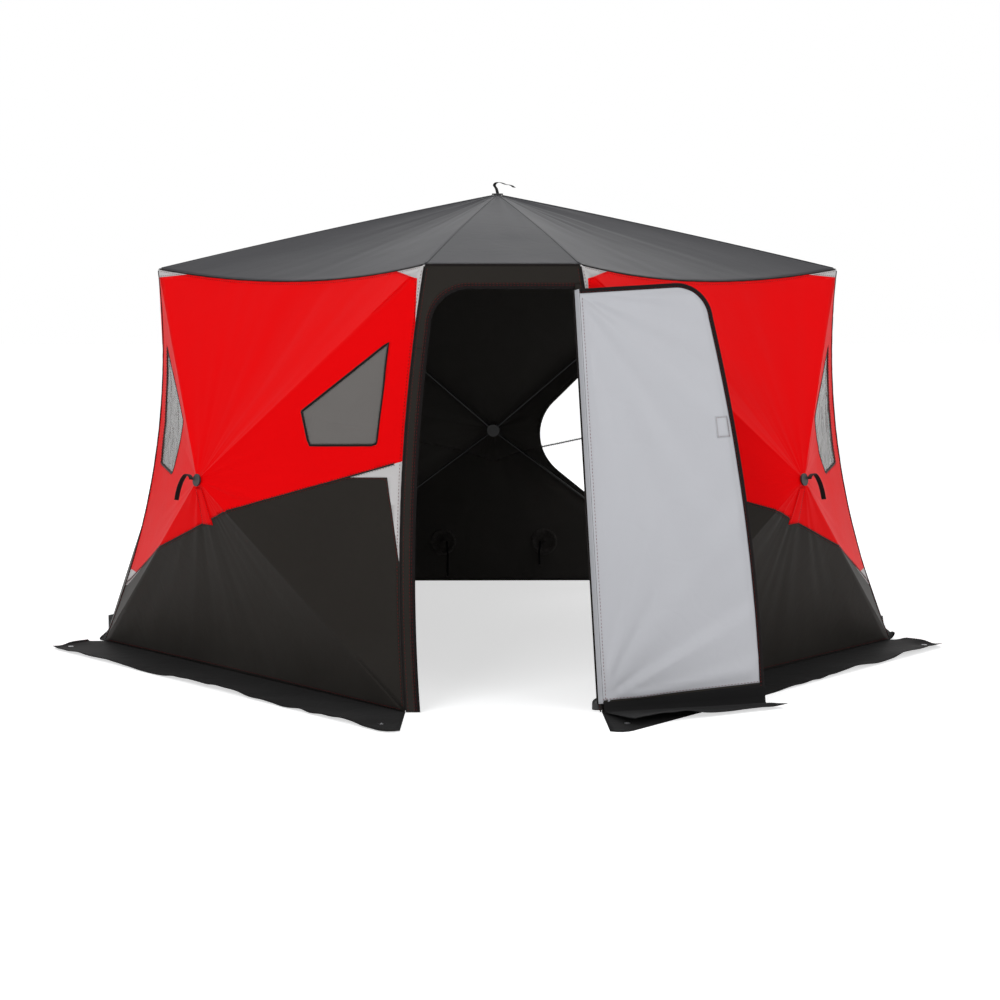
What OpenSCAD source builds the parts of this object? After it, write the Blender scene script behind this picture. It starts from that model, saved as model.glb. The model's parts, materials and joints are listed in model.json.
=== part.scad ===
// Pop-up fabric ice fishing hut with six sides, in millimetres.
// Origin on the ground under the middle of the plan. The door wall faces -Y, +Z is up.

/* [Roof and plan] */
// Height of the roof's peak
peak_h = 2050; // [1900:10:2300]
// Height of the eave corners
eave_h = 1705; // [1550:5:1800]
// Half the distance between the two widest eave corners
wide_half = 1544; // [1400:1:1750]
// Door wall's eave, measured forward from the widest corners
front_reach = 1501; // [1400:1:1650]
// Back wall's eave, measured back from the widest corners
back_reach = 1828; // [1650:1:2000]
// Peak, measured back from the widest corners
peak_back = 212; // [150:1:280]
// Width of the door wall at the eave
door_eave_w = 602; // [560:1:660]
// Width of the door wall at the ground
door_base_w = 750; // [700:1:820]
// Width of the back wall at the eave
back_eave_w = 1929; // [1750:1:2100]
// Ground plan as a multiple of the eave plan
flare = 1.171; // [1.12:0.001:1.22]

/* [Walls] */
// Push of each wall hub out of its wall
hub_push = 310; // [260:5:360]
// Height of a wall hub, as a share of its wall
hub_rise = 0.46; // [0.42:0.01:0.5]
// Inward bow of the wide corner seams at mid height
wide_bow = 110; // [80:1:140]
// Sideways bow of the two door wall seams at mid height
door_bow = 50; // [35:1:65]
// Sag of an eave at its middle
eave_sag = 60; // [40:1:80]
// Inward pull of an eave at its middle
eave_pull = 50; // [30:1:70]
// Height of the colour border below a hub, on the wall's slope
border_rise = 627; // [560:1:680]
// Slope of the colour border
border_slope = 0.325; // [0.2:0.005:0.35]

/* [Fabric and piping] */
// Thickness of the fabric panels
cloth_t = 2; // [1.5:0.1:3]
// Radius of the piping in the seams
seam_r = 4; // [3:0.5:6]
// Gap between pieces that are sewn or seated together
gap = 0.3; // [0.2:0.05:0.5]
// Width of a zip tape
tape_w = 18; // [14:1:24]

/* [Doorway] */
// Width of the jamb strip beside the zip
jamb_w = 34; // [26:1:45]
// Height of the header over the doorway
header_h = 95; // [80:1:130]
// Radius of the doorway's top corner
doorway_r = 150; // [110:5:180]
// Hinge line's distance from the middle at the ground
hinge_base = 362; // [355:1:366]
// Hinge line's distance from the middle at the header
hinge_top = 276; // [268:1:284]
// Radius of the hinge piping
hinge_r = 5; // [4:0.5:6]
// Step of the flap behind the door wall when it is shut
flap_step = 30; // [26:1:36]
// Clearance round the flap in the doorway
flap_gap = 6; // [5:0.5:10]
// Height of the flap's hem above the ground
hem_h = 30; // [25:1:45]
// Swing of the flap from shut to the open pose that is drawn
open_angle = 195; // [185:1:196]

/* [Skirt] */
// Width of the ground skirt
skirt_w = 300; // [240:5:340]
// Width of skirt tucked under the walls
skirt_tuck = 15; // [10:1:20]
// Reach of the skirt past the door corner
skirt_reach = 280; // [200:5:320]
// Radius of an eyelet's hole
eyelet_r = 6; // [4:0.5:8]

/* [Frame] */
// Radius of a pole
pole_r = 5.5; // [4.5:0.5:7]
// Radius of a wall hub's block
hub_r = 35; // [30:1:42]
// Radius of a corner socket
socket_r = 20; // [16:1:24]
// Radius of a foot
foot_r = 22; // [18:1:26]
// Radius of the cap outside a hub
cap_r = 26; // [20:1:32]

/* [Hidden] */

RED = [0.86, 0.02, 0.02];
BLACK = [0.12, 0.12, 0.11];
CHARCOAL = [0.33, 0.33, 0.34];
GREY = [0.78, 0.78, 0.78];
CLEAR = [0.5, 0.5, 0.48, 0.6];
METAL = [0.7, 0.7, 0.72];

steps = 8;          // straight runs along a bowed seam
ring = 8;           // sides of a piping tube
FL = 0; L = 1; BL = 2; BR = 3;   // corners: front left, wide left, back left, back right
block_t = 24;       // thickness of a hub block
hub_depth = 27;     // middle of a hub block, behind the fabric
stem_r = 5;         // stem that joins a hub block to its cap
cap_t = 6;          // thickness of a hub cap
reach = 600;        // half length of the prisms that cut panels
pane_lap = 12;      // overlap of a pane behind its window's edge
jamb_top = 1400;    // height on the slope where a jamb meets the header

function unit(v) = v / norm(v);
function lerp(a, b, t) = a + (b - a) * t;
function flip(p) = [-p[0], p[1], p[2]];
function across(v, along) = unit(v - (v * along) * along);

// ---- plan ----
centre_raw = [0, peak_back];
eave_raw = [
    [-door_eave_w / 2, -front_reach], [-wide_half, 0],
    [-back_eave_w / 2, back_reach], [back_eave_w / 2, back_reach]];
function flared(p) = centre_raw + flare * (p - centre_raw);
base_raw = [
    for (k = [FL : BR]) k == FL ? [-door_base_w / 2, flared(eave_raw[FL])[1]] : flared(eave_raw[k])];

// A skirt's outline: [distance along the wall, distance out of it] from its first corner
skirt_slack = 14;   // the tucked edge starts this far past a corner
skirt_cut = 70;     // length of the cut across a skirt's outer corner
skirt_tongue = 30;  // reach of the front skirts past the wide corners
skirt_taper = 620;  // length over which the back side skirts widen
function skirt_start() = [[skirt_slack, -skirt_tuck], [2, 0], [6, skirt_w * 0.75], [skirt_cut, skirt_w]];
function skirt_end(len) = [
    [len - skirt_cut, skirt_w], [len - 6, skirt_w * 0.75], [len - 2, 0], [len - skirt_slack, -skirt_tuck]];
function skirt_shape(k, len) =
    k == FL ? concat(
        [[1, -skirt_tuck], [1, 0], [-skirt_reach, skirt_w * 0.8]],
        [for (a = [30 : 30 : 60]) [-skirt_reach + 50 * (1 - cos(a)), skirt_w * (0.8 + 0.2 * sin(a))]],
        [[-skirt_reach + 60, skirt_w], [len - 3 * skirt_tongue, skirt_w], [len - skirt_tongue, skirt_w * 0.96],
         [len + 0.7 * skirt_tongue, skirt_w * 0.6], [len + skirt_tongue, skirt_w * 0.25],
         [len - 1, 0], [len - skirt_slack, -skirt_tuck]]) :
    k == L ? concat(
        [[skirt_slack, -skirt_tuck], [2, 0], [2, skirt_w / 10],
         [skirt_taper / 2, skirt_w * 0.47], [skirt_taper, skirt_w]], skirt_end(len)) :
    concat(skirt_start(), skirt_end(len));
function skirt_outline(k, base) = let (
    a = base[k], b = base[k + 1], along = unit(b - a), out = [-along[1], along[0]])
    [for (p = skirt_shape(k, norm(b - a))) a + p[0] * along + p[1] * out];
skirt_ys = [for (k = [FL : BL]) for (p = skirt_outline(k, base_raw)) p[1]];
plan_mid = [0, (min(skirt_ys) + max(skirt_ys)) / 2];

eave2 = [for (p = eave_raw) p - plan_mid];
base2 = [for (p = base_raw) p - plan_mid];
centre2 = centre_raw - plan_mid;
peak = [centre2[0], centre2[1], peak_h];
hem_z = cloth_t + gap;          // bottom edge of the walls, on the skirt
function eave(k) = [eave2[k][0], eave2[k][1], eave_h];
function base(k) = [base2[k][0], base2[k][1], hem_z];
function inward(k) = unit([centre2[0] - base2[k][0], centre2[1] - base2[k][1], 0]);
function bow(k) = k == FL ? [-door_bow, 0, 0] : wide_bow * inward(k);
function seam_at(k, t) = lerp(base(k), eave(k), t) + 4 * t * (1 - t) * bow(k);
function seam(k) = [for (s = [0 : steps]) seam_at(k, s / steps)];

// ---- wall frames ----
function wall_along(k) = unit(base(k + 1) - base(k));
function wall_foot(k) = (base(k) + base(k + 1)) / 2;
function wall_rise(k) = (eave(k) + eave(k + 1)) / 2 - wall_foot(k);
function wall_out(k) = unit(cross(wall_rise(k), wall_along(k)));
function wall_up(k) = cross(wall_along(k), wall_out(k));
function wall_hub(k) = wall_foot(k) + hub_rise * wall_rise(k) + hub_push * wall_out(k);
function columns(x, y, z, o) = [
    for (r = [0 : 2]) [x[r], y[r], z[r], o[r]]];
function wall_matrix(k) = columns(wall_along(k), -wall_up(k), wall_out(k), wall_foot(k));
module on_wall(k) multmatrix(wall_matrix(k)) children();
function eave_edge(k) = [
    for (s = [0 : steps]) let (t = s / steps) lerp(eave(k), eave(k + 1), t)
        - 4 * t * (1 - t) * (eave_sag * [0, 0, 1] + eave_pull * [wall_out(k)[0], wall_out(k)[1], 0])];

// Left-hand walls are built as drawn and right-hand ones are their mirror images
module side(right) if (right) mirror([1, 0, 0]) children(); else children();

// ---- sheets ----
// A corner of a sheet, moved in from its two edges
function set_in(corner, edge_a, in_a, edge_b, in_b) =
    corner + (edge_a * in_b + edge_b * in_a) / norm(cross(edge_a, edge_b));
// The outer edge of a fan, set in from its piping and from the two poles beside it
function fan_edge(tip, pts, rim_in, side_in) = let (n = len(pts) - 1) [
    for (s = [0 : n])
        s == 0 ? set_in(pts[0], unit(pts[1] - pts[0]), rim_in, unit(tip - pts[0]), side_in) :
        s == n ? set_in(pts[n], unit(pts[n - 1] - pts[n]), rim_in, unit(tip - pts[n]), side_in) :
        pts[s] + rim_in * across(tip - pts[s], unit(pts[s + 1] - pts[s - 1]))];
function fan_tip(tip, pts, side_in) = let (n = len(pts) - 1)
    set_in(tip, unit(pts[0] - tip), side_in, unit(pts[n] - tip), side_in);
// A thin sheet fanned out from one tip to an edge, thickened along out
module fan(tip, edge, out, thick = cloth_t) {
    ccw = cross(edge[0] - tip, edge[len(edge) - 1] - tip) * out > 0;
    rim = concat([tip], ccw ? edge : [for (s = [len(edge) - 1 : -1 : 0]) edge[s]]);
    n = len(rim);
    polyhedron(
        concat(rim, [for (p = rim) p + thick * out]),
        concat(
            [for (s = [1 : n - 2]) [0, s, s + 1]],
            [for (s = [1 : n - 2]) [n, n + s + 1, n + s]],
            [for (s = [0 : n - 1]) [s, n + s, (s + 1) % n]],
            [for (s = [0 : n - 1]) [(s + 1) % n, n + s, n + (s + 1) % n]]));
}

rim_in = seam_r + gap;
crease = gap;         // from a pole's line to the fabric beside it
module wall_fan(k, pts, rim, drop = 0, thick = cloth_t) {
    shift = -drop * wall_out(k);
    edge = fan_edge(wall_hub(k), pts, rim, crease);
    fan(fan_tip(wall_hub(k), pts, stem_r + gap) + shift, [for (p = edge) p + shift], wall_out(k), thick);
}
module near_facet(k, drop = 0, thick = cloth_t) wall_fan(k, seam(k), rim_in, drop, thick);
module far_facet(k, drop = 0, thick = cloth_t) wall_fan(k, seam(k + 1), rim_in, drop, thick);
module top_facet(k) wall_fan(k, eave_edge(k), rim_in);
module bottom_facet(k) wall_fan(k, [base(k), base(k + 1)], gap);
module wall_shell(k) {
    near_facet(k);
    far_facet(k);
    top_facet(k);
    bottom_facet(k);
}

// ---- patterns drawn on a wall's slope: x along the wall, y up it ----
module prism(points) translate([0, 0, -reach]) linear_extrude(2 * reach) polygon([for (p = points) [p[0], -p[1]]]);
function border_y(k, x) = border_rise
    + border_slope * (k == FL ? -x : k == L ? x : abs(x));
far = 1400;       // past a wall's side
high = 2000;      // past a wall's top
function lower_zone(k) = concat(
    [[-far, border_y(k, -far)]], k == BL ? [[0, border_rise]] : [],
    [[far, border_y(k, far)], [far, -far], [-far, -far]]);
function upper_zone(k) = concat(
    [[-far, border_y(k, -far)]], k == BL ? [[0, border_rise]] : [],
    [[far, border_y(k, far)], [far, high], [-far, high]]);
function turned(k, pts) = k == L ? [for (p = pts) [-p[0], p[1]]] : pts;
// Light corner patches of a side wall
function patch_shapes(k) = [
    for (shape = [
        [[-720, 1705], [-930, 1665], [-972, 1415], [-far, 1415], [-far, high], [-720, high]],
        [[-985, 952], [-936, 905], [-1040, 570], [-far, 570], [-far, 980]],
        [[680, 1705], [975, 1676], [1010, 1600], [far, 1600], [far, high], [680, high]],
        [[897, 339], [690, 402], [1040, 270], [far, 230], [far, 350]]])
    turned(k, shape)];
// Windows of a side wall: beside the high end of the border, then beside the low end
function window_shapes(k) = [
    for (shape = [
        [[-471, 1111], [-849, 1409], [-860, 1004], [-532, 978]],
        [[400, 1040], [850, 1370], [885, 840], [600, 800]]])
    turned(k, shape)];
function middle(pts) = [for (a = [0 : 1]) (min([for (p = pts) p[a]]) + max([for (p = pts) p[a]])) / 2];
function grown(pts, by) = let (m = middle(pts)) [for (p = pts) p + by * unit(p - m)];

module patches(k) intersection() {
    wall_shell(k);
    on_wall(k) for (shape = patch_shapes(k)) prism(shape);
}
module side_upper(k) difference() {
    wall_shell(k);
    on_wall(k) {
        prism(lower_zone(k));
        for (shape = concat(patch_shapes(k), window_shapes(k))) prism(shape);
    }
}
module side_lower(k) difference() {
    wall_shell(k);
    on_wall(k) {
        prism(upper_zone(k));
        for (shape = patch_shapes(k)) prism(shape);
    }
}
// Clear panes, seated behind the windows' edges
module side_windows(k) for (w = [0 : 1]) intersection() {
    if ((w == 0) == (k == FL)) near_facet(k, cloth_t / 2 + gap, cloth_t / 2);
    else far_facet(k, cloth_t / 2 + gap, cloth_t / 2);
    on_wall(k) prism(grown(window_shapes(k)[w], pane_lap));
}

// ---- rear doorway, in the back wall's facet beside the back right corner ----
rear_points = [[133, 758], [850, 1540], [980, 110]];
rear_radii = [270, 90, 80];
// A polygon with its corners rounded to the given radii and its edges moved out by grow
function rounded(pts, radii, grow, arc_steps = 6) = [
    for (s = [0 : len(pts) - 1]) let (
        p = pts[s], a = unit(pts[(s + len(pts) - 1) % len(pts)] - p), b = unit(pts[(s + 1) % len(pts)] - p),
        half = acos(a * b) / 2, r = radii[s], mid = p + unit(a + b) * r / sin(half),
        turn = (a[0] * b[1] - a[1] * b[0]) > 0 ? -1 : 1, from = -unit(a + b))
    for (q = [-arc_steps : arc_steps]) let (ang = turn * (90 - half) * q / arc_steps)
        mid + (r + grow) * [from[0] * cos(ang) - from[1] * sin(ang), from[0] * sin(ang) + from[1] * cos(ang)]];
module rear_prism(grow) prism(rounded(rear_points, rear_radii, grow));
module back_fabric() difference() {
    wall_shell(BL);
    on_wall(BL) rear_prism(tape_w + gap);
}

// ---- tubes ----
// A round tube along points, with flat ends
module tube(pts, r, sides = ring) {
    n = len(pts);
    ends = [for (s = [0 : n - 1]) unit(pts[min(s + 1, n - 1)] - pts[max(s - 1, 0)])];
    rings = [for (s = [0 : n - 1]) let (
        t = ends[s], x = unit(cross(abs(t[2]) > 0.7 ? [1, 0, 0] : [0, 0, 1], t)), y = cross(t, x))
        for (q = [0 : sides - 1]) pts[s] + r * (x * cos(360 * q / sides) + y * sin(360 * q / sides))];
    polyhedron(rings, concat(
        [[for (q = [0 : sides - 1]) q]],
        [[for (q = [sides - 1 : -1 : 0]) (n - 1) * sides + q]],
        [for (s = [0 : n - 2]) for (q = [0 : sides - 1]) let (u = (q + 1) % sides)
            for (f = [[s * sides + q, (s + 1) * sides + q, s * sides + u],
                [s * sides + u, (s + 1) * sides + q, (s + 1) * sides + u]]) f]));
}
end_trim = 12;      // piping stops short of a corner by this much
function trimmed(pts) = let (n = len(pts) - 1) [
    for (s = [0 : n])
        s == 0 ? pts[0] + end_trim * unit(pts[1] - pts[0]) :
        s == n ? pts[n] + end_trim * unit(pts[n - 1] - pts[n]) : pts[s]];
// A straight rod of radius r between two points, short of them by cut_a and cut_b
module rod(a, b, r, cut_a, cut_b) {
    d = unit(b - a);
    translate(a + cut_a * d)
        rotate([0, acos(d[2]), atan2(d[1], d[0])])
            cylinder(h = norm(b - a) - cut_a - cut_b, r = r, $fn = 24);
}
module along_axis(origin, d) translate(origin) rotate([0, acos(d[2]), atan2(d[1], d[0])]) children();

// ---- roof ----
module roof_panel(pts) {
    out = unit(cross(pts[0] - peak, pts[len(pts) - 1] - peak));
    up = out[2] > 0 ? out : -out;
    edge = fan_edge(peak, pts, rim_in, crease);
    fan(fan_tip(peak, pts, stem_r + gap), edge, up);
}
door_eave = [eave(FL), flip(eave(FL))];

// ---- corner sockets, feet and poles ----
socket_drop = 26;   // how far down the seam a corner socket sits
function socket(k) = let (d = unit(seam_at(k, 1 - 1 / steps) - eave(k)))
    eave(k) + socket_drop * d + (socket_r + rim_in) * across(inward(k), d);
foot_in = 66;       // from a base corner to its foot
function foot(k) = [base2[k][0], base2[k][1], foot_r] + foot_in * inward(k);
function hub_core(k) = wall_hub(k) - hub_depth * wall_out(k);
peak_core = peak - [0, 0, hub_depth];
module corners() for (m = [false, true]) side(m) children();

// How far from a hub's core a pole starts, so that its flat end clears the hub's rim
function pole_start(d, axis) = let (lean = abs(d * axis))
    (hub_r + gap + pole_r * lean) / sqrt(1 - lean * lean);
module hub_pole(core, axis, end, end_r)
    rod(core, end, pole_r, pole_start(unit(end - core), axis), end_r + gap);
module wall_pole_set(k) for (c = [k, k + 1]) {
    hub_pole(hub_core(k), wall_out(k), socket(c), socket_r);
    hub_pole(hub_core(k), wall_out(k), foot(c), foot_r);
}
module hub(core, out) along_axis(core, out) {
    translate([0, 0, -block_t / 2]) cylinder(h = block_t, r = hub_r, $fn = 48);
    cylinder(h = hub_depth + gap, r = stem_r, $fn = 24);
    translate([0, 0, hub_depth + gap]) cylinder(h = cap_t, r = cap_r, $fn = 48);
}

// ---- doorway: x across, y up the door wall's slope, z out of it ----
door_foot = [0, base2[FL][1], hem_z];
door_head = [0, eave2[FL][1], eave_h];
slope = norm(door_head - door_foot);
door_up = unit(door_head - door_foot);
door_out = cross([1, 0, 0], door_up);
module on_door_wall() multmatrix(columns([1, 0, 0], door_up, door_out, door_foot)) children();
function seam_x(y) = let (t = y / slope) lerp(door_base_w / 2, door_eave_w / 2, t) + 4 * t * (1 - t) * door_bow;
door_rim = rim_in + 0.8;   // from a bowed door seam to the fabric beside it
function hinge_x(y) = lerp(hinge_base, hinge_top, y / (slope - header_h));
// Left edge of the doorway, then its rounded corner, then its top edge as far as the hinge side;
// grow moves the edge outwards
doorway_top = slope - header_h;
function doorway_left(y, grow) = -(seam_x(y) - door_rim - jamb_w - tape_w) - grow;
function doorway_edge(low, grow) = let (
    x0 = doorway_left(doorway_top - doorway_r, 0) + doorway_r, r = doorway_r + grow)
    concat(
        [for (s = [0 : steps]) let (y = lerp(low, doorway_top - doorway_r, s / steps)) [doorway_left(y, grow), y]],
        [for (a = [15 : 15 : 90]) [x0 - r * cos(a), doorway_top - doorway_r + r * sin(a)]]);
// The region inside that edge, as far right as the hinge line less a margin
function doorway_region(low, grow, margin) = concat(
    doorway_edge(low, grow),
    [[hinge_x(doorway_top + grow) - margin, doorway_top + grow], [hinge_x(low) - margin, low]]);
module slab(points, thick = cloth_t) translate([0, 0, -thick / 2]) linear_extrude(thick) polygon(points);
jamb_gap = hinge_r + gap;
module jamb_side(sign, low, top_y, inner) slab(concat(
    [for (s = [0 : steps]) let (y = lerp(low, top_y, s / steps)) [sign * (seam_x(y) - door_rim), y]],
    [for (s = [steps : -1 : 0]) let (y = lerp(low, top_y, s / steps)) [inner[s], y]]));

// ---- door flap, drawn shut and then swung open about the hinge line ----
hinge_a = [hinge_x(hem_h), hem_h, 0];
hinge_b = [hinge_x(doorway_top - flap_gap), doorway_top - flap_gap, 0];
function from_door(p) = door_foot + p[0] * [1, 0, 0] + p[1] * door_up + p[2] * door_out;
hinge_foot = from_door(hinge_a);
hinge_dir = unit(from_door(hinge_b) - hinge_foot);
module swung(angle) translate(hinge_foot) rotate(a = angle, v = hinge_dir) translate(-hinge_foot) children();
function swing(p, angle) = let (v = p - hinge_foot, c = cos(angle), s = sin(angle))
    hinge_foot + v * c + cross(hinge_dir, v) * s + hinge_dir * (hinge_dir * v) * (1 - c);
web = 12;      // from the hinge line to where the flap's plane starts
module flap_slab(inset) slab(doorway_region(hem_h, -flap_gap - inset, web));

// ==== sub-parts ====
module front_left_upper() color(RED) side_upper(FL);
module front_left_lower() color(BLACK) side_lower(FL);
module front_left_windows() color(CLEAR) side_windows(FL);
module front_right_upper() color(RED) side(true) side_upper(FL);
module front_right_lower() color(BLACK) side(true) side_lower(FL);
module front_right_windows() color(CLEAR) side(true) side_windows(FL);
module back_left_upper() color(RED) side_upper(L);
module back_left_lower() color(BLACK) side_lower(L);
module back_left_windows() color(CLEAR) side_windows(L);
module back_right_upper() color(RED) side(true) side_upper(L);
module back_right_lower() color(BLACK) side(true) side_lower(L);
module back_right_windows() color(CLEAR) side(true) side_windows(L);
module back_upper() color(RED) difference() {
    back_fabric();
    on_wall(BL) prism(lower_zone(BL));
}
module back_lower() color(BLACK) difference() {
    back_fabric();
    on_wall(BL) prism(upper_zone(BL));
}
module corner_patches() color(GREY) corners() {
    patches(FL);
    patches(L);
}
module rear_door_zip() color(BLACK) intersection() {
    far_facet(BL);
    on_wall(BL) difference() {
        rear_prism(tape_w);
        rear_prism(0);
    }
}
roll_r = 32;        // radius of the rolled rear door
module rear_door_roll() color(BLACK) side(true) tube(
    [for (s = [1 : steps - 1]) let (
        lean = seam_at(BL, (s + 1) / steps) - seam_at(BL, (s - 1) / steps))
        seam_at(BL, s / steps) + (roll_r + rim_in) * across(inward(BL), unit(lean))], roll_r, 12);

module roof_front() color(CHARCOAL) roof_panel(door_eave);
module roof_front_left() color(CHARCOAL) roof_panel(eave_edge(FL));
module roof_front_right() color(CHARCOAL) side(true) roof_panel(eave_edge(FL));
module roof_back_left() color(CHARCOAL) roof_panel(eave_edge(L));
module roof_back_right() color(CHARCOAL) side(true) roof_panel(eave_edge(L));
module roof_back() color(CHARCOAL) roof_panel(eave_edge(BL));

module corner_seams() color(BLACK) corners() for (k = [FL : BL]) tube(trimmed(seam(k)), seam_r);
module eave_seams() color(BLACK) {
    corners() for (k = [FL : L]) tube(trimmed(eave_edge(k)), seam_r);
    tube(trimmed(eave_edge(BL)), seam_r);
    tube(trimmed(door_eave), seam_r);
}

header_low = jamb_top;
module door_header() color(BLACK) on_door_wall() {
    edge = doorway_edge(header_low, tape_w);
    top_y = slope - rim_in;
    slab(concat(
        [[-seam_x(header_low) + door_rim, header_low]],
        [for (p = edge) if (p[1] >= header_low) p],
        [[hinge_x(doorway_top + tape_w), doorway_top + tape_w],
         [seam_x(top_y) - door_rim, doorway_top + tape_w], [seam_x(top_y) - door_rim, top_y],
         [-seam_x(top_y) + door_rim, top_y]]));
}
module door_jamb_left() color(BLACK) on_door_wall() jamb_side(
    -1, gap, jamb_top - gap,
    [for (s = [0 : steps]) doorway_left(lerp(gap, jamb_top - gap, s / steps), tape_w + 0.6)]);
module door_jamb_right() color(BLACK) on_door_wall() jamb_side(
    1, gap, doorway_top + tape_w - gap,
    [for (s = [0 : steps]) hinge_x(lerp(gap, doorway_top + tape_w - gap, s / steps)) + jamb_gap]);
module doorway_zip() color(BLACK) on_door_wall() {
    outer = doorway_edge(gap, tape_w - gap);
    inner = doorway_edge(gap, 0);
    slab(concat(
        outer, [[hinge_x(doorway_top) - jamb_gap, doorway_top + tape_w - gap],
        [hinge_x(doorway_top) - jamb_gap, doorway_top]],
        [for (s = [len(inner) - 1 : -1 : 0]) inner[s]]));
}

module skirt(k) linear_extrude(cloth_t) polygon(skirt_outline(k, base2));
eyelet_flange = 12;    // outer radius of an eyelet
eyelet_t = 1.5;        // thickness of an eyelet's flange on the skirt
// Eyelets: distance along the wall and out of it, from a skirt's corner
eyelet_out = skirt_w * 0.68;
function eyelet_spots(k) = let (a = base2[k], b = base2[k + 1], d = unit(b - a), out = [-d[1], d[0]], w = norm(b - a))
    [for (x = k == FL ? [-120, w - 45] : k == L ? [w - 60] : [60, w - 60]) a + x * d + eyelet_out * out];
module eyelet_holes(k) for (p = eyelet_spots(k))
    translate([p[0], p[1], -1]) cylinder(h = cloth_t + 2, r = eyelet_r + 1, $fn = 32);
module skirt_panel(k) difference() {
    skirt(k);
    eyelet_holes(k);
}
module front_left_skirt() color(BLACK) skirt_panel(FL);
module front_right_skirt() color(BLACK) side(true) skirt_panel(FL);
module back_left_skirt() color(BLACK) skirt_panel(L);
module back_right_skirt() color(BLACK) side(true) skirt_panel(L);
module back_skirt() color(BLACK) skirt_panel(BL);
module eyelet(p) translate([p[0], p[1], cloth_t]) difference() {
    cylinder(h = eyelet_t, r = eyelet_flange, $fn = 48);
    translate([0, 0, -1]) cylinder(h = eyelet_t + 2, r = eyelet_r, $fn = 48);
}
module skirt_eyelets() color(METAL) {
    corners() for (k = [FL : L]) for (p = eyelet_spots(k)) eyelet(p);
    for (p = eyelet_spots(BL)) eyelet(p);
}

module wall_poles() color(BLACK) {
    corners() for (k = [FL : L]) wall_pole_set(k);
    wall_pole_set(BL);
}
module roof_poles() color(BLACK) corners() for (k = [FL : BL])
    hub_pole(peak_core, [0, 0, 1], socket(k), socket_r);
module wall_hubs() color(BLACK) {
    corners() for (k = [FL : L]) hub(hub_core(k), wall_out(k));
    hub(hub_core(BL), wall_out(BL));
}
module roof_hub() color(BLACK) hub(peak_core, [0, 0, 1]);
module corner_sockets() color(BLACK) corners() for (k = [FL : BL])
    translate(socket(k)) sphere(r = socket_r, $fn = 32);
module feet() color(BLACK) corners() for (k = [FL : BL]) translate([foot(k)[0], foot(k)[1], 0]) {
    cylinder(h = foot_r, r = foot_r, $fn = 32);
    translate([0, 0, foot_r]) sphere(r = foot_r, $fn = 32);
}

// A flat strap of width w whose edge-on path is drawn in a plane
strap_t = 3;
strap_w = 22;
function ribbon(pts, t) = let (n = len(pts) - 1, normals = [
    for (s = [0 : n]) let (d = unit(pts[min(s + 1, n)] - pts[max(s - 1, 0)])) [-d[1], d[0]] * t / 2])
    concat([for (s = [0 : n]) pts[s] + normals[s]], [for (s = [n : -1 : 0]) pts[s] - normals[s]]);
hub_strap_path = [[0, 0], [0, 4], [14, 14], [34, 20], [56, 10], [78, -18], [92, -54], [98, -92]];
module hub_strap(k) on_wall(k) translate([
    (wall_hub(k) - wall_foot(k)) * wall_along(k) + cap_r + gap + strap_t / 2,
    -(wall_hub(k) - wall_foot(k)) * wall_up(k), hub_push + gap])
    linear_extrude(strap_w) polygon([for (p = ribbon(hub_strap_path, strap_t)) [p[0], -p[1]]]);
module hub_straps() color(BLACK) {
    corners() for (k = [FL : L]) hub_strap(k);
    hub_strap(BL);
}
tab_top = 45;       // width of a pull tab at its top
tab_bottom = 80;    // width of a pull tab at its bottom
tab_l = 150;        // length of a pull tab
tab_t = 2;
function facet_down(k) = unit(wall_foot(k) - wall_hub(k));
module hub_tab(k) {
    down = facet_down(k);
    x = wall_along(k);
    out = unit(cross(down, x)) * wall_out(k) > 0 ? unit(cross(down, x)) : -unit(cross(down, x));
    lift = cloth_t * (wall_out(k) * out) + gap;
    multmatrix(columns(x, cross(out, x), out, wall_hub(k) + (cap_r + 4) * down + lift * out))
        linear_extrude(tab_t) polygon([
            for (p = [[-tab_top, 0], [tab_top, 0], [tab_bottom, tab_l], [-tab_bottom, tab_l]])
                [p[0] / 2, cross(out, x) * down > 0 ? p[1] : -p[1]]]);
}
module hub_tabs() color(RED) {
    corners() for (k = [FL : L]) hub_tab(k);
    hub_tab(BL);
}
peak_strap_path = [[0, 0], [0, 4], [-5, 22], [-14, 38], [-4, 50], [16, 50], [38, 42], [62, 38], [78, 28]];
module peak_strap() color(BLACK)
    translate([peak[0], peak[1] + strap_w / 2, peak_h + cap_t + 2 * gap])
        rotate([90, 0, 0]) linear_extrude(strap_w) polygon(ribbon(peak_strap_path, strap_t));

vent_r = 62;        // radius of a floor vent's gathered sleeve
vent_tube = 11;     // radius of the roll round it
vent_x = 283;       // distance of a vent from the back wall's middle
vent_y = 200;       // height of a vent on the slope
module floor_vents() color(BLACK) for (x = [-vent_x, vent_x]) {
    down = facet_down(BL);
    along = wall_along(BL);
    out = unit(cross(down, along)) * wall_out(BL) > 0 ? unit(cross(down, along)) : -unit(cross(down, along));
    slant = norm(wall_foot(BL) - wall_hub(BL));
    along_axis(wall_foot(BL) + x * along - (vent_y / (hub_rise * norm(wall_rise(BL))) * slant) * down
        - (vent_tube + gap) * out, -out)
        rotate_extrude($fn = 48) translate([vent_r, 0]) circle(r = vent_tube, $fn = 16);
}

module door_flap() color(GREY) swung(open_angle) on_door_wall() translate([0, 0, -flap_step]) flap_slab(tape_w);
module door_zip() color(BLACK) swung(open_angle) on_door_wall() translate([0, 0, -flap_step]) {
    outer = doorway_edge(hem_h, -flap_gap);
    inner = doorway_edge(hem_h, -flap_gap - tape_w + gap);
    slab(concat(
        outer, [[hinge_x(doorway_top) - web, doorway_top - flap_gap],
        [hinge_x(doorway_top) - web, doorway_top - flap_gap - tape_w + gap]],
        [for (s = [len(inner) - 1 : -1 : 0]) inner[s]]));
}
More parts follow.
